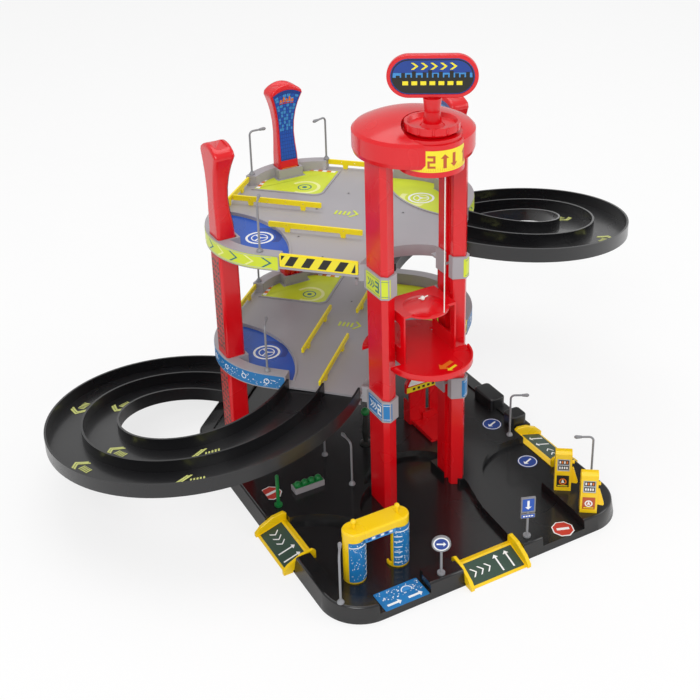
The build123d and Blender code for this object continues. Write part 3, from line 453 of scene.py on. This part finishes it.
def corner_pad(level, hand, side):
    main, shade = (BLUE, DEEP_BLUE) if side < 0 else (LIME, LIME_PALE)
    pts = pad_outline()
    if side > 0:
        pts = [(-x, y) for x, y in pts]
    pad = Sticker("corner_pad_%s_%d" % (hand, level), "tower", on_floor(0, 0, ROAD[level] - PAD_DROP),
                  main, shade, WHITE)
    pad.base(pts, main)
    x, y = side * 104, -1
    sweep = [(18.5, t) for t in range(-70, 71, 7)] + [(25, t) for t in range(62, -63, -7)]
    pad.ink([(x - side * r * cos(radians(t)), r * sin(radians(t))) for r, t in sweep], shade)
    pad.ring(x, y, 13.0, 15.6, WHITE, 2)
    pad.ring(x, y, 8.2, 9.4, WHITE, 2)
    pad.dot(x, y, 2.2, WHITE, 2)
    for k in range(3):
        a = radians(90 + 120 * k)
        c, s = cos(a), sin(a)
        spoke = [(1.5, -0.8), (8.6, -0.8), (8.6, 0.8), (1.5, 0.8)]
        pad.ink([(x + px * c - py * s, y + px * s + py * c) for px, py in spoke], WHITE, 1.9)
    pad.done()


def back_bay(level):
    edge = DECK_HALF - BAY_KERB
    r = DECK_R - BAY_KERB
    front = [(49.2, 55), (50.4, 50.4), (55, 43.2), (edge, 43.2), (edge, CORNER)]
    right = to_plan(front + arc(CORNER, CORNER, r, 0, 31, 8))
    left = to_plan(arc(CORNER, CORNER, r, 59, 90, 8) + [(49.2, edge)])
    x = right[-1][0]
    bay = Sticker("back_bay_%d" % level, "tower", on_floor(0, 0, ROAD[level]),
                  LIME, LIME_PALE, ORANGE, WHITE, TEAL)
    bay.base(right + [(x, 130.5), (-x, 130.5)] + left, LIME)
    near, far = edge - 5.5, edge - 1
    for k in range(8):
        t = 52 + k * 5.6
        paint = ORANGE if k % 2 else WHITE
        bay.ink(to_plan([(t, near), (t + 5.5, near), (t + 5.5, far), (t, far)]), paint)
        bay.ink(to_plan([(near, t - 6), (far, t - 6), (far, t - 0.5), (near, t - 0.5)]), paint)
    bay.ring(0, 96, 15, 19, LIME_PALE, 1, 30, 200, 470)
    bay.ring(0, 96, 7, 8.5, TEAL, 1, 24)
    bay.dot(0, 96, 3, TEAL, 1)
    bay.done()


PLUGS = ((-17, 31), (-25, -39), (-68, -25), (-69, -84), (62, -30), (36, 52))

for level in (2, 3):
    corner_pad(level, "left", -1)
    corner_pad(level, "right", 1)
    back_bay(level)
    marks = Sticker("deck_arrows_%d" % level, "tower", on_floor(5, 3, ROAD[level], -45), LIME)
    for k in range(4):
        marks.box(-12 + 5 * k, -9.5 + 5 * k, -5, 5, LIME)
    for y in (-9, 9):
        marks.ink([(6, y), (9, y), (16, 0), (13, 0)], LIME)
    marks.done()
    plugs = Sticker("deck_plugs_%d" % level, "tower", on_floor(0, 0, ROAD[level]), GREY, INK)
    for x, y in PLUGS:
        plugs.ring(x, y, 1.2, 2.0, GREY, 1, 14)
        plugs.dot(x, y, 1.2, INK, 0.3)
    plugs.done()


# --- hazard barriers ---

def gate_place(turn, shift, out, z):
    """Upright sticker on the outer face of a gate of the decks."""
    a = radians(turn)
    n = Vector((-sin(a), cos(a), 0))
    r = Vector((-cos(a), -sin(a), 0))
    return flat(n * out - r * shift + UP * z, r, UP)


for level, turn, shift in ((2, -135, 16.5), (3, 135, -16.5)):
    plate = Sticker("hazard_stripes_%d" % level, "tower",
                    gate_place(turn, shift, DECK_HALF, ROAD[level] + 7.6), BAND_YELLOW, INK)
    plate.base(rounded(-41, 41, -6.2, 6.2, 0.8), BAND_YELLOW)
    for x in (-33, -15, 3, 21):
        plate.ink([(x - 4, -5.6), (x + 5, -5.6), (x + 12, 5.6), (x + 3, 5.6)], INK)
    plate.ink([(35, -5.6), (39.6, -5.6), (39.6, 5)], INK)
    plate.ink([(-40.4, 0), (-40.4, 5.6), (-36, 5.6)], INK)
    plate.done()


# --- lift ---

CORD_R = 0.6
CORD_BEND = 2.5
CORD_SIDES = 12
CORD_TOP = Vector((0, -212.99, 425))
CORD_END = 254.7


def cord_path():
    """From the spool to the eye, round its edge and down to the knot."""
    top = CORD_TOP.z
    start = next(v.co / MM for v in nodes["hoist_string"].data.vertices
                 if v.co.z / MM > top - 0.7 and (v.co / MM - CORD_TOP).length > 8)
    start = Vector((start.x, start.y, top))
    ahead = (CORD_TOP - start).normalized()
    path = [start.lerp(CORD_TOP - ahead * CORD_BEND, t / 8) for t in range(9)]
    for k in range(1, 6):
        a = pi / 2 * k / 6
        path.append(CORD_TOP - ahead * CORD_BEND * (1 - sin(a)) - UP * CORD_BEND * (1 - cos(a)))
    steps = 210
    hang = top - CORD_BEND - CORD_END
    return path + [CORD_TOP - UP * (CORD_BEND + hang * k / steps) for k in range(steps + 1)]


def skin(bm, rings):
    """Close a row of rings to a solid skin."""
    n = len(rings[0])
    for low, high in zip(rings, rings[1:]):
        for i in range(n):
            bm.faces.new((low[i], low[(i + 1) % n], high[(i + 1) % n], high[i])).smooth = True
    bm.faces.new(rings[0][::-1])
    bm.faces.new(rings[-1])


def to_piece(name, bm, paint):
    mesh = bpy.data.meshes.new(name)
    bm.to_mesh(mesh)
    bm.free()
    mesh.materials.append(paint)
    return link(name, mesh)


def twisted_cord():
    """Three-strand string from the spool, round the eye and down to the knot."""
    path = cord_path()
    bm = bmesh.new()
    side = UP.copy()
    rings = []
    long = 0.0
    for i, p in enumerate(path):
        ahead = (path[min(i + 1, len(path) - 1)] - path[max(i - 1, 0)]).normalized()
        side = (side - ahead * side.dot(ahead)).normalized()
        other = ahead.cross(side)
        long += (p - path[i - 1]).length if i else 0
        ring = []
        for k in range(CORD_SIDES):
            a = 2 * pi * k / CORD_SIDES
            r = CORD_R * (0.9 + 0.1 * cos(3 * a + long * 1.4))
            ring.append(bm.verts.new((p + side * r * cos(a) + other * r * sin(a)) * MM))
        rings.append(ring)
    skin(bm, rings)
    bmesh.ops.recalc_face_normals(bm, faces=bm.faces)
    obj = to_piece("lift_cord", bm, CORD)
    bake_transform(obj)
    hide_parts("hoist_string")


twisted_cord()

place, long = along_path(arc(0, DRUM_Y, 32.0, 193.6, 346.4, 40), 420)
band = Sticker("drum_band", "tower", place, BAND_YELLOW, RUST, ORANGE)
band.base(rounded(0.5, long - 0.5, -10.5, 11, 1.2), BAND_YELLOW)
band.digit(2, 25, 0, 12.5, RUST, 2)
for x, turn in ((38, 90), (48, -90), (64, 90)):
    band.arrow(x, 0.2, turn, 14, 3.4, RUST, 2, 2.4)
for i in range(int(long / 2.2) - 1):
    for j in range(3):
        band.dot(2.5 + 2.2 * i, -9 + 1.5 * j, 0.42 - 0.08 * j, ORANGE, 1, 6)
band.done(cut=2.5)

SKYLINE = (2, 4.5, 3, 6, 2.4, 5, 7, 3.6, 5.5, 2.8, 6.4, 4, 3, 5.2)

for face, turn in (("front", SIGN_TURN), ("back", SIGN_TURN + 180)):
    place = on_piece((0, SPINDLE_Y, SIGN_Z), turn, SIGN_FACE)
    panel = Sticker("sign_print_" + face, "winder", place, INK, SKY, BAND_YELLOW, DEEP_BLUE)
    panel.base(arc(22, 0, 16.4, -90, 90, 16) + arc(-22, 0, 16.4, 90, 270, 16), INK)
    night = arc(22, 0, 15.4, 0, 90, 10) + arc(-22, 0, 15.4, 90, 180, 10)
    panel.ink(night + [(-37.2, -1), (37.2, -1)], DEEP_BLUE)
    panel.ink([(-37, -1), (37, -1), (36.6, 3.5), (-36.6, 3.5)], SKY, 2)
    for i, h in enumerate(SKYLINE):
        panel.box(-34 + i * 5, -30.4 + i * 5, -2, h - 1, INK, 3)
    for i in range(5):
        panel.chevron(-20 + 9 * i, 9.9, 4.4, 3.3, 2.6, BAND_YELLOW, 3)
    for i in range(7):
        panel.box(-28 + i * 8.4, -22.6 + i * 8.4, -8.4, -4.6, BAND_YELLOW, 3)
    panel.done()

floor = Sticker("cabin_arrow", "cabin", on_floor(5, -209, CABIN_FLOOR, 200), ORANGE, BAND_YELLOW)
floor.arrow(0, 0, 0, 20, 5, ORANGE)
floor.arrow(0, 8, 0, 14, 3, BAND_YELLOW)
floor.done()


# --- post heads and corner columns ---

# Height above the top deck, depth and half width of a post head's sections.
HEAD_ROWS = ((0, 21.4, 13.2), (12, 21, 13.1), (28, 19.6, 12.8), (42, 17.4, 12.0), (56, 16.2, 11.6),
             (70, 16.6, 12.3), (84, 18.2, 14.2), (96, 20.2, 16.8), (106, 22.2, 19.4), (113, 23.4, 21.2),
             (116.5, 22.6, 20.6), (117.8, 20.0, 18.4), (118.0, 15.0, 14.0))
HEAD_FLARE = 113
HEAD_TOP = 118
HEAD_ROUND = 3.6
HEAD_DROP = 9.0


def head_size(z):
    """Depth and half width of a post head at a height above the top deck."""
    for (z0, w0, y0), (z1, w1, y1) in zip(HEAD_ROWS, HEAD_ROWS[1:]):
        if z <= z1:
            t = (z - z0) / (z1 - z0)
            return w0 + (w1 - w0) * t, y0 + (y1 - y0) * t
    return HEAD_ROWS[-1][1:]


def head_height(z, y):
    """Height of a point whose section lies at z: the flared top falls away to both sides."""
    wide = head_size(HEAD_FLARE)[1]
    return ROAD[3] + z - HEAD_DROP * (z / HEAD_TOP) ** 3 * (y / wide) ** 2


def split_sides(points, parts):
    """Outline with extra points along its four straight sides."""
    pairs = list(zip(points, points[1:] + points[:1]))
    longest = sorted(hypot(b[0] - a[0], b[1] - a[1]) for a, b in pairs)[-4]
    out = []
    for a, b in pairs:
        n = parts if hypot(b[0] - a[0], b[1] - a[1]) >= longest else 1
        out += [(a[0] + (b[0] - a[0]) * k / n, a[1] + (b[1] - a[1]) * k / n) for k in range(n)]
    return out


def head_mesh(name, spin):
    """Flared, domed post head: rounded sections at growing heights."""
    rows = []
    for (z0, w0, y0), (z1, w1, y1) in zip(HEAD_ROWS, HEAD_ROWS[1:]):
        n = 3 if z1 - z0 > 4 else 1
        rows += [(z0 + (z1 - z0) * k / n, w0 + (w1 - w0) * k / n, y0 + (y1 - y0) * k / n) for k in range(n)]
    rows.append(HEAD_ROWS[-1])
    deepest = head_size(HEAD_FLARE)[0]
    bm = bmesh.new()
    rings = []
    for z, w, half in rows:
        out = -POST_FACE + ((deepest - w) / 2 if z > HEAD_FLARE else 0)
        outline = split_sides(rounded(out, out + w, -half, half, HEAD_ROUND), 12)
        rings.append([bm.verts.new(spin @ Vector((x, y, head_height(z, y))) * MM) for x, y in outline])
    skin(bm, rings)
    obj = to_piece(name, bm, RED)
    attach(obj, "tower")
    return obj


def head_print(hand, spin):
    """Sticker on the inner face: a field of windows, a row of flames and a foot patch."""
    def on_head(x, y, h):
        return spin @ Vector((head_size(y)[0] - POST_FACE + h, x, head_height(y, x)))

    face = Sticker("post_head_print_" + hand, "tower", on_head,
                   SKY, DEEP_BLUE, BLUE, ORANGE, BAND_YELLOW, STOP_RED)
    edge = [(head_size(y)[1] - 2.4, y) for y in range(22, 113, 3)]
    for (w0, y0), (w1, y1) in zip(edge, edge[1:]):
        for k in range(-5, 5):
            a0, a1, b0, b1 = (t / 5 for t in (k * w0, (k + 1) * w0, k * w1, (k + 1) * w1))
            face.base([(a0, y0), (a1, y0), (b1, y1), (b0, y1)], DEEP_BLUE)
    for i in range(19):
        y0 = 24 + i * 4.4
        y1 = y0 + 3.7
        w0, w1 = (head_size(y)[1] - 3.2 for y in (y0, y1))
        for j in range(-3, 3):
            x0, x1 = j / 3 + 0.03, (j + 1) / 3 - 0.03
            paint = BLUE if i < 8 or (i * 5 + j * 3) % 7 < 3 else SKY
            face.ink([(x0 * w0, y0), (x1 * w0, y0), (x1 * w1, y1), (x0 * w1, y1)], paint)
    for k in range(5):
        x = -9 + 3.8 * k
        y = 101 + (k % 2) * 2.5
        face.ink([(x, 97), (x + 3.2, 97), (x + 2.4, y), (x + 0.8, y)], ORANGE, 2)
        face.box(x, x + 3.2, 94.5, 96, STOP_RED, 2)
    face.box(-10, 10, 2.5, 13, ORANGE)
    face.box(-10, 10, 2.5, 6.5, BAND_YELLOW, 2)
    face.done()


for hand, turn in (("left", 0), ("back", -90), ("right", -180)):
    spin = turned(turn)
    head = head_mesh("post_head_" + hand, spin)
    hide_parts("finial_" + hand)
    head_print(hand, spin)

for part, z0, z1 in (("lower", 20, 126), ("upper", 152, 270)):
    for hand, side in (("left", -1), ("right", 1)):
        place = on_wall((side * POST_FACE, 0, z0), 90 * side)
        tread = Sticker("tread_%s_%s" % (hand, part), "tower", place, TREAD, TREAD_DARK)
        high = z1 - z0
        tread.base(rounded(-10.5, 10.5, 0, high, 0.8), TREAD)
        for i in range(int((high - 10) / 6.2) + 1):
            y = 3.0 + 6.2 * i
            for k, x in enumerate((-9, -2.2, 4.6)):
                y0, y1 = (y, y + 2.2) if (i + k) % 2 else (y + 2.2, y)
                tread.ink([(x, y0), (x + 4.6, y1), (x + 4.6, y1 + 2.8), (x, y0 + 2.8)], TREAD_DARK)
        tread.done()


# --- spiral ramps ---

def lane_place(side, angle, lane):
    """Sticker on a spiral lane; x runs along the lane and y across it."""
    z_low, z_high = RING_Z[side]
    middle = RING_R + lane * LANE_OUT

    def place(x, y, h):
        a = angle + degrees(x / middle)
        z = z_low + (z_high - z_low) * (a - RING_FIRST) / (360 - 2 * RING_FIRST)
        r = middle - side * y
        return Vector((side * (RING_AT - r * cos(radians(a))), r * sin(radians(a)), z + h + 0.05))

    return place


# Angle round the ramp, lane (-1 inner, 1 outer) and sense of each arrow.
LANE_MARKS = {
    "left": ((241, 1, -1), (246, -1, -1), (192, 1, -1), (193, -1, -1), (137, 1, 1), (128, -1, 1)),
    "right": ((293, 1, -1), (291, -1, -1), (235, 1, -1), (190, -1, 1), (128, 1, 1)),
}
for hand, marks in LANE_MARKS.items():
    side = -1 if hand == "left" else 1
    for k, (angle, lane, way) in enumerate(marks):
        mark = Sticker("lane_arrow_%s_%d" % (hand, k), "tower", lane_place(side, angle, lane), LANE)
        for i in range(5):
            x = -16 + 3.4 * i
            mark.box(x * way, (x + 1.9) * way, -4, 4, LANE)
        for x in (1.5, 5.6):
            for y in (-10, 10):
                arm = ((x - 4, y), (x - 1.4, y * 1.1), (x + 9.4, 0), (x + 6.2, 0))
                mark.ink([(px * way, py) for px, py in arm], LANE)
        mark.done(cut=4.0)


# --- base: signs on the floor, entry ramps ---

for name, x, y, z in (("blue_disc_1", 134, -184, FLOOR_LOW), ("blue_disc_2", 135, -111, FLOOR_HIGH)):
    disc = Sticker(name, "tower", on_floor(x, y, z, 200), DEEP_BLUE, WHITE)
    disc.base(arc(0, 0, 11.5, 0, 350, 35), DEEP_BLUE)
    disc.ring(0, 0, 9.9, 10.8, WHITE)
    disc.arrow(0, 0, 0, 13, 2.2, WHITE, 1, 3.2)
    disc.done()

OCTAGONS = ((95, -299.4, FLOOR_LOW, -20), (-150, -97, FLOOR_HIGH, 10))
for k, (x, y, z, turn) in enumerate(OCTAGONS, 1):
    sign = Sticker("octagon_%d" % k, "tower", on_floor(x, y, z, turn), WHITE, STOP_RED)
    sign.base(arc(0, 0, 12.3, 22.5, 337.5, 7), WHITE)
    sign.ink(arc(0, 0, 11, 22.5, 337.5, 7), STOP_RED)
    sign.box(-6.82, 6.82, -1.76, 1.76, WHITE, 2)
    sign.done()

wash = Sticker("wash_floor", "tower", on_floor(-103, -299, FLOOR_LOW), WASH_BLUE, WHITE, SKY)
wash.base(rounded(-25, 25, -12.5, 14, 1.5), WASH_BLUE)
dots(wash, -24, 24, -2, 13, 60, 11, 0.3, 0.8)
wash.arrow(-12, -6.5, 0, 16, 2.6, WHITE, 2, 2.8)
wash.arrow(12, -6.5, 0, 16, 2.6, WHITE, 2, 2.8)
wash.ink(arc(8, 3, 7, 0, 180, 10), SKY, 2)
wash.ring(8, 3, 5.4, 6.4, WHITE, 3, 14, 0, 180)
wash.done()

ENTRIES = {"left": (-90, -BASE_HALF_X, SIDE_ENTRY_Y), "front": (0, 0, BASE_FRONT),
           "right": (90, BASE_HALF_X, SIDE_ENTRY_Y)}
for which, (turn, x, y) in ENTRIES.items():
    spin = turned(turn)
    rise = Vector((0, 1, ENTRY_SLOPE)).normalized()
    origin = spin @ Vector((0, 6.0, 1.2 + 15 * ENTRY_SLOPE)) + Vector((x, y, 0))
    sheet = Sticker("entry_panel_" + which, "tower", flat(origin, spin @ Vector((1, 0, 0)), spin @ rise),
                    ROAD_GREEN, WHITE)
    sheet.base(rounded(-31.5, 31.5, -13, 13.2, 0.8), ROAD_GREEN)
    for x in (8, 21):
        sheet.arrow(x, 0, 90, 20, 1.8, WHITE, 1, 4.0)
    for k in range(3):
        sheet.chevron(-25 + 8.5 * k, 0, 4.5, 5, 1.8, WHITE)
    sheet.done()

for hand, x, start, seed in (("left", -130, 5.5, 3), ("right", -80, 6.5, 4)):
    place, long = along_path(arc(x, WASH_Y, 12, 190, 350, 24), FLOOR_LOW)
    cover = Sticker("wash_pillar_" + hand, "tower", place, WASH_BLUE, WHITE)
    end = long - 0.5
    cover.base(rounded(start, end, 2, 50, 1), WASH_BLUE)
    dots(cover, start + 0.5, end - 0.5, 3, 49, 90, seed, 0.25, 0.55)
    tick = end - 9 if hand == "left" else start + 1
    for k in range(6):
        cover.box(tick, tick + 8, 6 + 6.4 * k, 7 + 6.4 * k, WHITE, 2)
    cover.box(start + 0.5, end - 0.5, 44, 45, WHITE, 2)
    cover.done(cut=2.0)

lintel = Sticker("wash_lintel", "tower", on_wall((-105, WASH_Y - 10.6, 57.2)), SKY, WHITE, DEEP_BLUE)
lintel.shape(rounded(-17.5, 17.5, -3.4, 2.6, 0.6), -1.2, 0.1, SKY)
for k in range(6):
    lintel.box(-15 + 5 * k, -11.5 + 5 * k, -1.6, 0.9, WHITE if k % 2 else DEEP_BLUE)
lintel.done()


# --- pumps, signs, gantry ---

for k, y, paint, dial in ((1, -252, INK, ORANGE), (2, -296, RUST, WHITE)):
    face = Sticker("pump_face_%d" % k, "tower", on_piece((130, y, BASE_TOP), PUMP_TURN, 5.7),
                   BAND_YELLOW, INK, RUST, WHITE, ORANGE, SILVER)
    face.base(rounded(-6.6, 6.6, 25.4, 40.6, 0.5), SILVER)
    face.box(-5.6, 5.6, 34, 39.6, INK)
    face.box(-5.6, 5.6, 27, 32.4, INK)
    for i in range(4):
        x = -4.6 + 2.5 * i
        face.box(x, x + 1.6, 35.2, 38.4, ORANGE if i % 2 else WHITE, 2)
        face.box(x, x + 1.6, 28.2, 31.2, WHITE, 2)
    face.base(rounded(-6.6, 6.6, 4.4, 19.6, 0.5), paint)
    face.ring(0, 11.5, 2.8, 4.2, dial, 2, 18)
    face.ink([(-1.8, 10), (1.8, 10), (0, 15)], WHITE, 2)
    face.box(-5.4, 5.4, 5.6, 6.6, BAND_YELLOW, 2)
    face.done()

place = on_piece((-59, BASE_FRONT + 10, BASE_TOP + 37), -30, 0.8)
disc = Sticker("round_sign_print", "tower", place, DEEP_BLUE, WHITE)
disc.base(arc(0, 0, 8.1, 0, 350, 35), WHITE)
disc.ink(arc(0, 0, 6.6, 0, 350, 35), DEEP_BLUE)
disc.arrow(0, 0, 0, 9.5, 1.7, WHITE, 2, 3.2)
disc.done()

place = on_piece((48, BASE_FRONT + 13, BASE_TOP + 40), -20, 0.8)
plate = Sticker("parking_sign_print", "tower", place, BLUE, WHITE)
plate.base(rounded(-6.1, 6.1, -7.6, 7.6, 0.8), BLUE)
plate.arrow(0, 0, -90, 11, 2.4, WHITE, 1, 2.8)
plate.done()
place = on_piece((48, BASE_FRONT + 13, BASE_TOP + 26.5), -20, 1.2)
plate = Sticker("parking_sign_bar", "tower", place, BLUE, WHITE)
plate.base(rounded(-6.9, 6.9, -2, 2, 0.6), BLUE)
for k in range(4):
    plate.box(-5.4 + 2.9 * k, -3.4 + 2.9 * k, -0.8, 0.8, WHITE)
plate.done()

head = Sticker("gantry_print", "tower", on_wall((75, -64, 60)), WHITE, BAND_YELLOW, STOP_RED, INK)
head.base([(-26.5, 11)] + arc(0, 0, 30.5, 158, 22, 24) + [(26.5, 11)], WHITE)
head.base(rounded(-30, 30, 2.6, 9.6, 0.6), BAND_YELLOW)
head.ink(arc(0, 0, 24, 128, 52, 16) + arc(0, 0, 22, 52, 128, 16), STOP_RED)
for k in range(7):
    head.box(-22 + 6.6 * k, -18.6 + 6.6 * k, 4.6, 7.6, INK)
for k in range(3):
    head.chevron(-9 + 7 * k, 16.5, 3.5, 3.5, 2, STOP_RED)
head.done()


# ---------------------------------------------------------------- studio

def light(name, where, target, size, power):
    data = bpy.data.lights.new(name, "AREA")
    data.shape = "SQUARE"
    data.size = size
    data.energy = power
    obj = link(name, data)
    obj.location = where
    obj.rotation_euler = (Vector(target) - Vector(where)).to_track_quat("-Z", "Y").to_euler()


def seen_factor(tree):
    """1 where the camera or glass looks, 0 for light and reflections on the object."""
    path = tree.nodes.new("ShaderNodeLightPath")
    most = tree.nodes.new("ShaderNodeMath")
    most.operation = "MAXIMUM"
    tree.links.new(path.outputs["Is Camera Ray"], most.inputs[0])
    tree.links.new(path.outputs["Is Transmission Ray"], most.inputs[1])
    return most.outputs[0]


def white_mix(tree, shaded, white, share, output):
    """White to the camera by a share of what it sees, the plain shader for all other light."""
    white.inputs["Color"].default_value = (1, 1, 1, 1)
    white.inputs["Strength"].default_value = 1.0
    part = tree.nodes.new("ShaderNodeMath")
    part.operation = "MULTIPLY"
    part.inputs[1].default_value = share
    tree.links.new(seen_factor(tree), part.inputs[0])
    mix = tree.nodes.new("ShaderNodeMixShader")
    tree.links.new(part.outputs[0], mix.inputs[0])
    tree.links.new(shaded.outputs[0], mix.inputs[1])
    tree.links.new(white.outputs[0], mix.inputs[2])
    tree.links.new(mix.outputs[0], tree.nodes[output].inputs["Surface"])


def studio():
    scene = bpy.context.scene
    scene.view_settings.view_transform = "Standard"
    world = bpy.data.worlds.new("studio")
    scene.world = world
    world.use_nodes = True
    tree = world.node_tree
    sky = tree.nodes["Background"]
    sky.inputs["Color"].default_value = (1, 1, 1, 1)
    sky.inputs["Strength"].default_value = 0.62
    white_mix(tree, sky, tree.nodes.new("ShaderNodeBackground"), 1.0, "World Output")

    mesh = bpy.data.meshes.new("floor")
    mesh.from_pydata([(-6, -6, 0), (6, -6, 0), (6, 6, 0), (-6, 6, 0)], [], [(0, 1, 2, 3)])
    floor = link("floor", mesh)
    floor.location.z = -0.0004
    mat = plastic("pale_floor", "f4f4f4", rough=0.6, vary=0.01, bump=0.0)
    tree = mat.node_tree
    glow = tree.nodes.new("ShaderNodeEmission")
    white_mix(tree, tree.nodes["Principled BSDF"], glow, 0.75, "Material Output")
    mesh.materials.append(mat)

    light("key", (-1.6, -1.9, 2.2), (0, -0.1, 0.2), 1.4, 34)
    light("fill", (2.2, -1.4, 1.5), (0, -0.1, 0.2), 1.6, 16)
    light("top", (0.2, 0.6, 2.6), (0, -0.1, 0.1), 1.8, 18)


def camera():
    """The photograph's view: heading, pitch and roll as fitted to it, with a small vertical shift."""
    data = bpy.data.cameras.new("camera")
    cam = link("camera", data)
    where = Vector((-565.9051, -1087.3344, 828.5485))
    focal_px, photo_px, sensor = 1183.8765, 700, 36.0
    heading, pitch, roll = 0.4869, 0.4166, -0.0283
    data.sensor_width = sensor
    data.lens = focal_px / photo_px * sensor
    data.shift_y = -0.2
    data.clip_start, data.clip_end = 0.05, 20.0
    ahead = Vector((sin(heading) * cos(pitch), cos(heading) * cos(pitch), -sin(pitch)))
    level = Vector((cos(heading), -sin(heading), 0))
    rise = level.cross(ahead)
    right = level * cos(roll) + rise * sin(roll)
    up = rise * cos(roll) - level * sin(roll)
    cam.matrix_world = Matrix.Translation(where * MM) @ Matrix((right, up, -ahead)).transposed().to_4x4()
    bpy.context.scene.camera = cam


studio()
camera()
